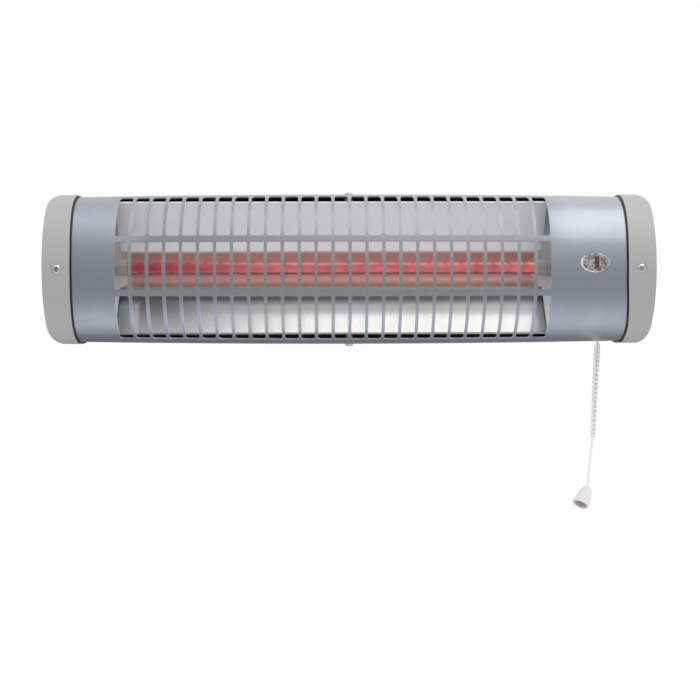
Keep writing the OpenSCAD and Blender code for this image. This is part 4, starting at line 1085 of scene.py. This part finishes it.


# The cover's inner face is painted near black for camera rays, as painted shade, since little light
# gets there through the grille.
cover_steel = galvanised("cover_steel", (0.6, 0.62, 0.64), (0.44, 0.46, 0.49), 110)
faces_front = times(
    calc("LESS_THAN", parts(own_normal(cover_steel))[1], -0.5),
    camera_ray(cover_steel))
wire(cover_steel, Base_Color=blend(faces_front, look_colour(cover_steel), PAINTED_SHADE_BLACK))
paint(cover_steel, "rear_cover")
paint(
    galvanised("zinc_steel", (0.7, 0.71, 0.7), (0.56, 0.57, 0.58), 260),
    "wall_bracket", "tilt_lug_left", "tilt_lug_right", "element_saddle_left",
    "element_saddle_right", "reflector_spacers", "end_frame_left", "end_frame_right")
paint(screw_chrome, "lug_rivets", "pivot_stud_left", "pivot_stud_right")
paint(
    grained("black_plastic", (0.02, 0.02, 0.022), (0.035, 0.035, 0.036), 1800, 0.7, 0.42, 0.12,
            0.03),
    "tilt_knob_left", "tilt_knob_right", "cable_gland", "thermal_cutout", "lens_clip", "switch_cam")
paint(
    grained("fibre_washer", (0.3, 0.14, 0.08), (0.2, 0.09, 0.05), 1400, 0.8, 0.75, 0.1, 0.04),
    "friction_washers")
paint(
    grained("sleeve", (0.75, 0.74, 0.68), (0.6, 0.58, 0.5), 2600, 0.8, 0.7, 0.1, 0.08),
    "lead_wire_left", "lead_wire_right")


# Studio
# A pale floor and a white surround. One large soft light stands above on the right and
# a weaker one on the left, and the room behind the camera is darker.
world = bpy.data.worlds.new("surround")
scene.world = world
world.use_nodes = True
world.node_tree.nodes.clear()
room_x, room_y, room_z = parts(shader(world, "TexCoord").outputs["Generated"])
room_turn = ramp(calc("ARCTAN2", room_z, times(room_y, -1.0)), -math.pi, math.pi)
# What shiny faces mirror: the room's tone at angles in degrees, where 0 is level in
# front, 90 is above and -90 below, first for the left side and then for the right.
ROOM_TONES = (
    ((-180, 0.28), (-160, 0.1), (-128, 0.02), (-112, 0.6), (-95, 0.95), (-80, 0.9),
     (-62, 0.48), (-45, 0.16), (-10, 0.12), (15, 0.15), (38, 0.26), (58, 0.6), (80, 0.66),
     (110, 0.6), (150, 0.74), (180, 0.28)),
    ((-180, 0.3), (-160, 0.14), (-128, 0.14), (-112, 0.7), (-95, 1.0), (-80, 0.9),
     (-62, 0.55), (-45, 0.28), (-10, 0.29), (15, 0.52), (38, 0.68), (58, 0.8), (80, 0.85),
     (110, 0.95), (150, 1.0), (180, 0.3)),
)
room_sides = []
for side_tones in ROOM_TONES:
    side = shader(world, "ValToRGB", {"Fac": room_turn})
    while len(side.color_ramp.elements) < len(side_tones):
        side.color_ramp.elements.new(1.0)
    for stop, (degrees_round, tone) in zip(side.color_ramp.elements, side_tones):
        stop.position = degrees_round / 360 + 0.5
        stop.color = (tone * 0.97, tone * 0.98, tone, 1)
    room_sides.append(side.outputs["Color"])
room_mirrored = blend(
    ramp(calc("ABSOLUTE", room_x), 0.22, 0.45, 0.0, 0.8),
    blend(ramp(room_x, -0.16, 0.16), *room_sides), (0.6, 0.6, 0.62))
room_grey = ramp(room_z, -1.0, 1.0, 0.66, 1.0)
room_soft = shader(world, "CombineColor", {
    "Red": room_grey, "Green": room_grey, "Blue": room_grey}).outputs[0]
rays = shader(world, "LightPath").outputs
WHITE = (1, 1, 1, 1)
shader(world, "OutputWorld", {"Surface": shader(world, "MixShader", {
    0: calc("MAXIMUM", rays["Is Camera Ray"], rays["Is Transmission Ray"]),
    1: shader(world, "Background", {
        "Color": blend(rays["Is Glossy Ray"], room_soft, room_mirrored)}),
    2: shader(world, "Background", {"Color": WHITE})})})


def soft_light(name, place, aim, size, watts, colour):
    """A large square area light at a place, turned to a point, in metres."""
    data = bpy.data.lights.new(name, "AREA")
    data.shape = "SQUARE"
    data.size = size
    data.energy = watts
    data.color = colour
    made = add_object(name, data)
    made.location = place
    made.rotation_euler = (Vector(aim) - Vector(place)).to_track_quat("-Z", "Y").to_euler()


soft_light("key_light", (0.5, -0.45, 1.25), (0.45, -0.1, 0), 1.4, 7.0, (1, 0.93, 0.88))
soft_light("fill_light", (-1.0, -0.2, 1.2), (0, 0, 0), 1.0, 2, (0.96, 0.98, 1))

FLOOR_Z = -620
FLOOR_HALF = 6000
floor_mesh = mesh_from("floor", [
    (x * FLOOR_HALF, y * FLOOR_HALF, FLOOR_Z) for x, y in ((-1, -1), (1, -1), (1, 1), (-1, 1))],
    [(0, 1, 2, 3)])
floor = add_object("floor", floor_mesh)
floor_paint = new_material("floor_paint", Base_Color=(0.86, 0.86, 0.87, 1), Roughness=0.9)
floor_mesh.materials.append(floor_paint)
floor_nodes = floor_paint.node_tree.nodes
feed(floor_nodes["Material Output"].inputs["Surface"], shader(
    floor_paint, "MixShader", {
        0: camera_ray(floor_paint), 1: floor_nodes["Principled BSDF"],
        2: shader(floor_paint, "Emission", {"Color": WHITE})}))
floor.visible_glossy = False

scene.view_settings.view_transform = "Standard"
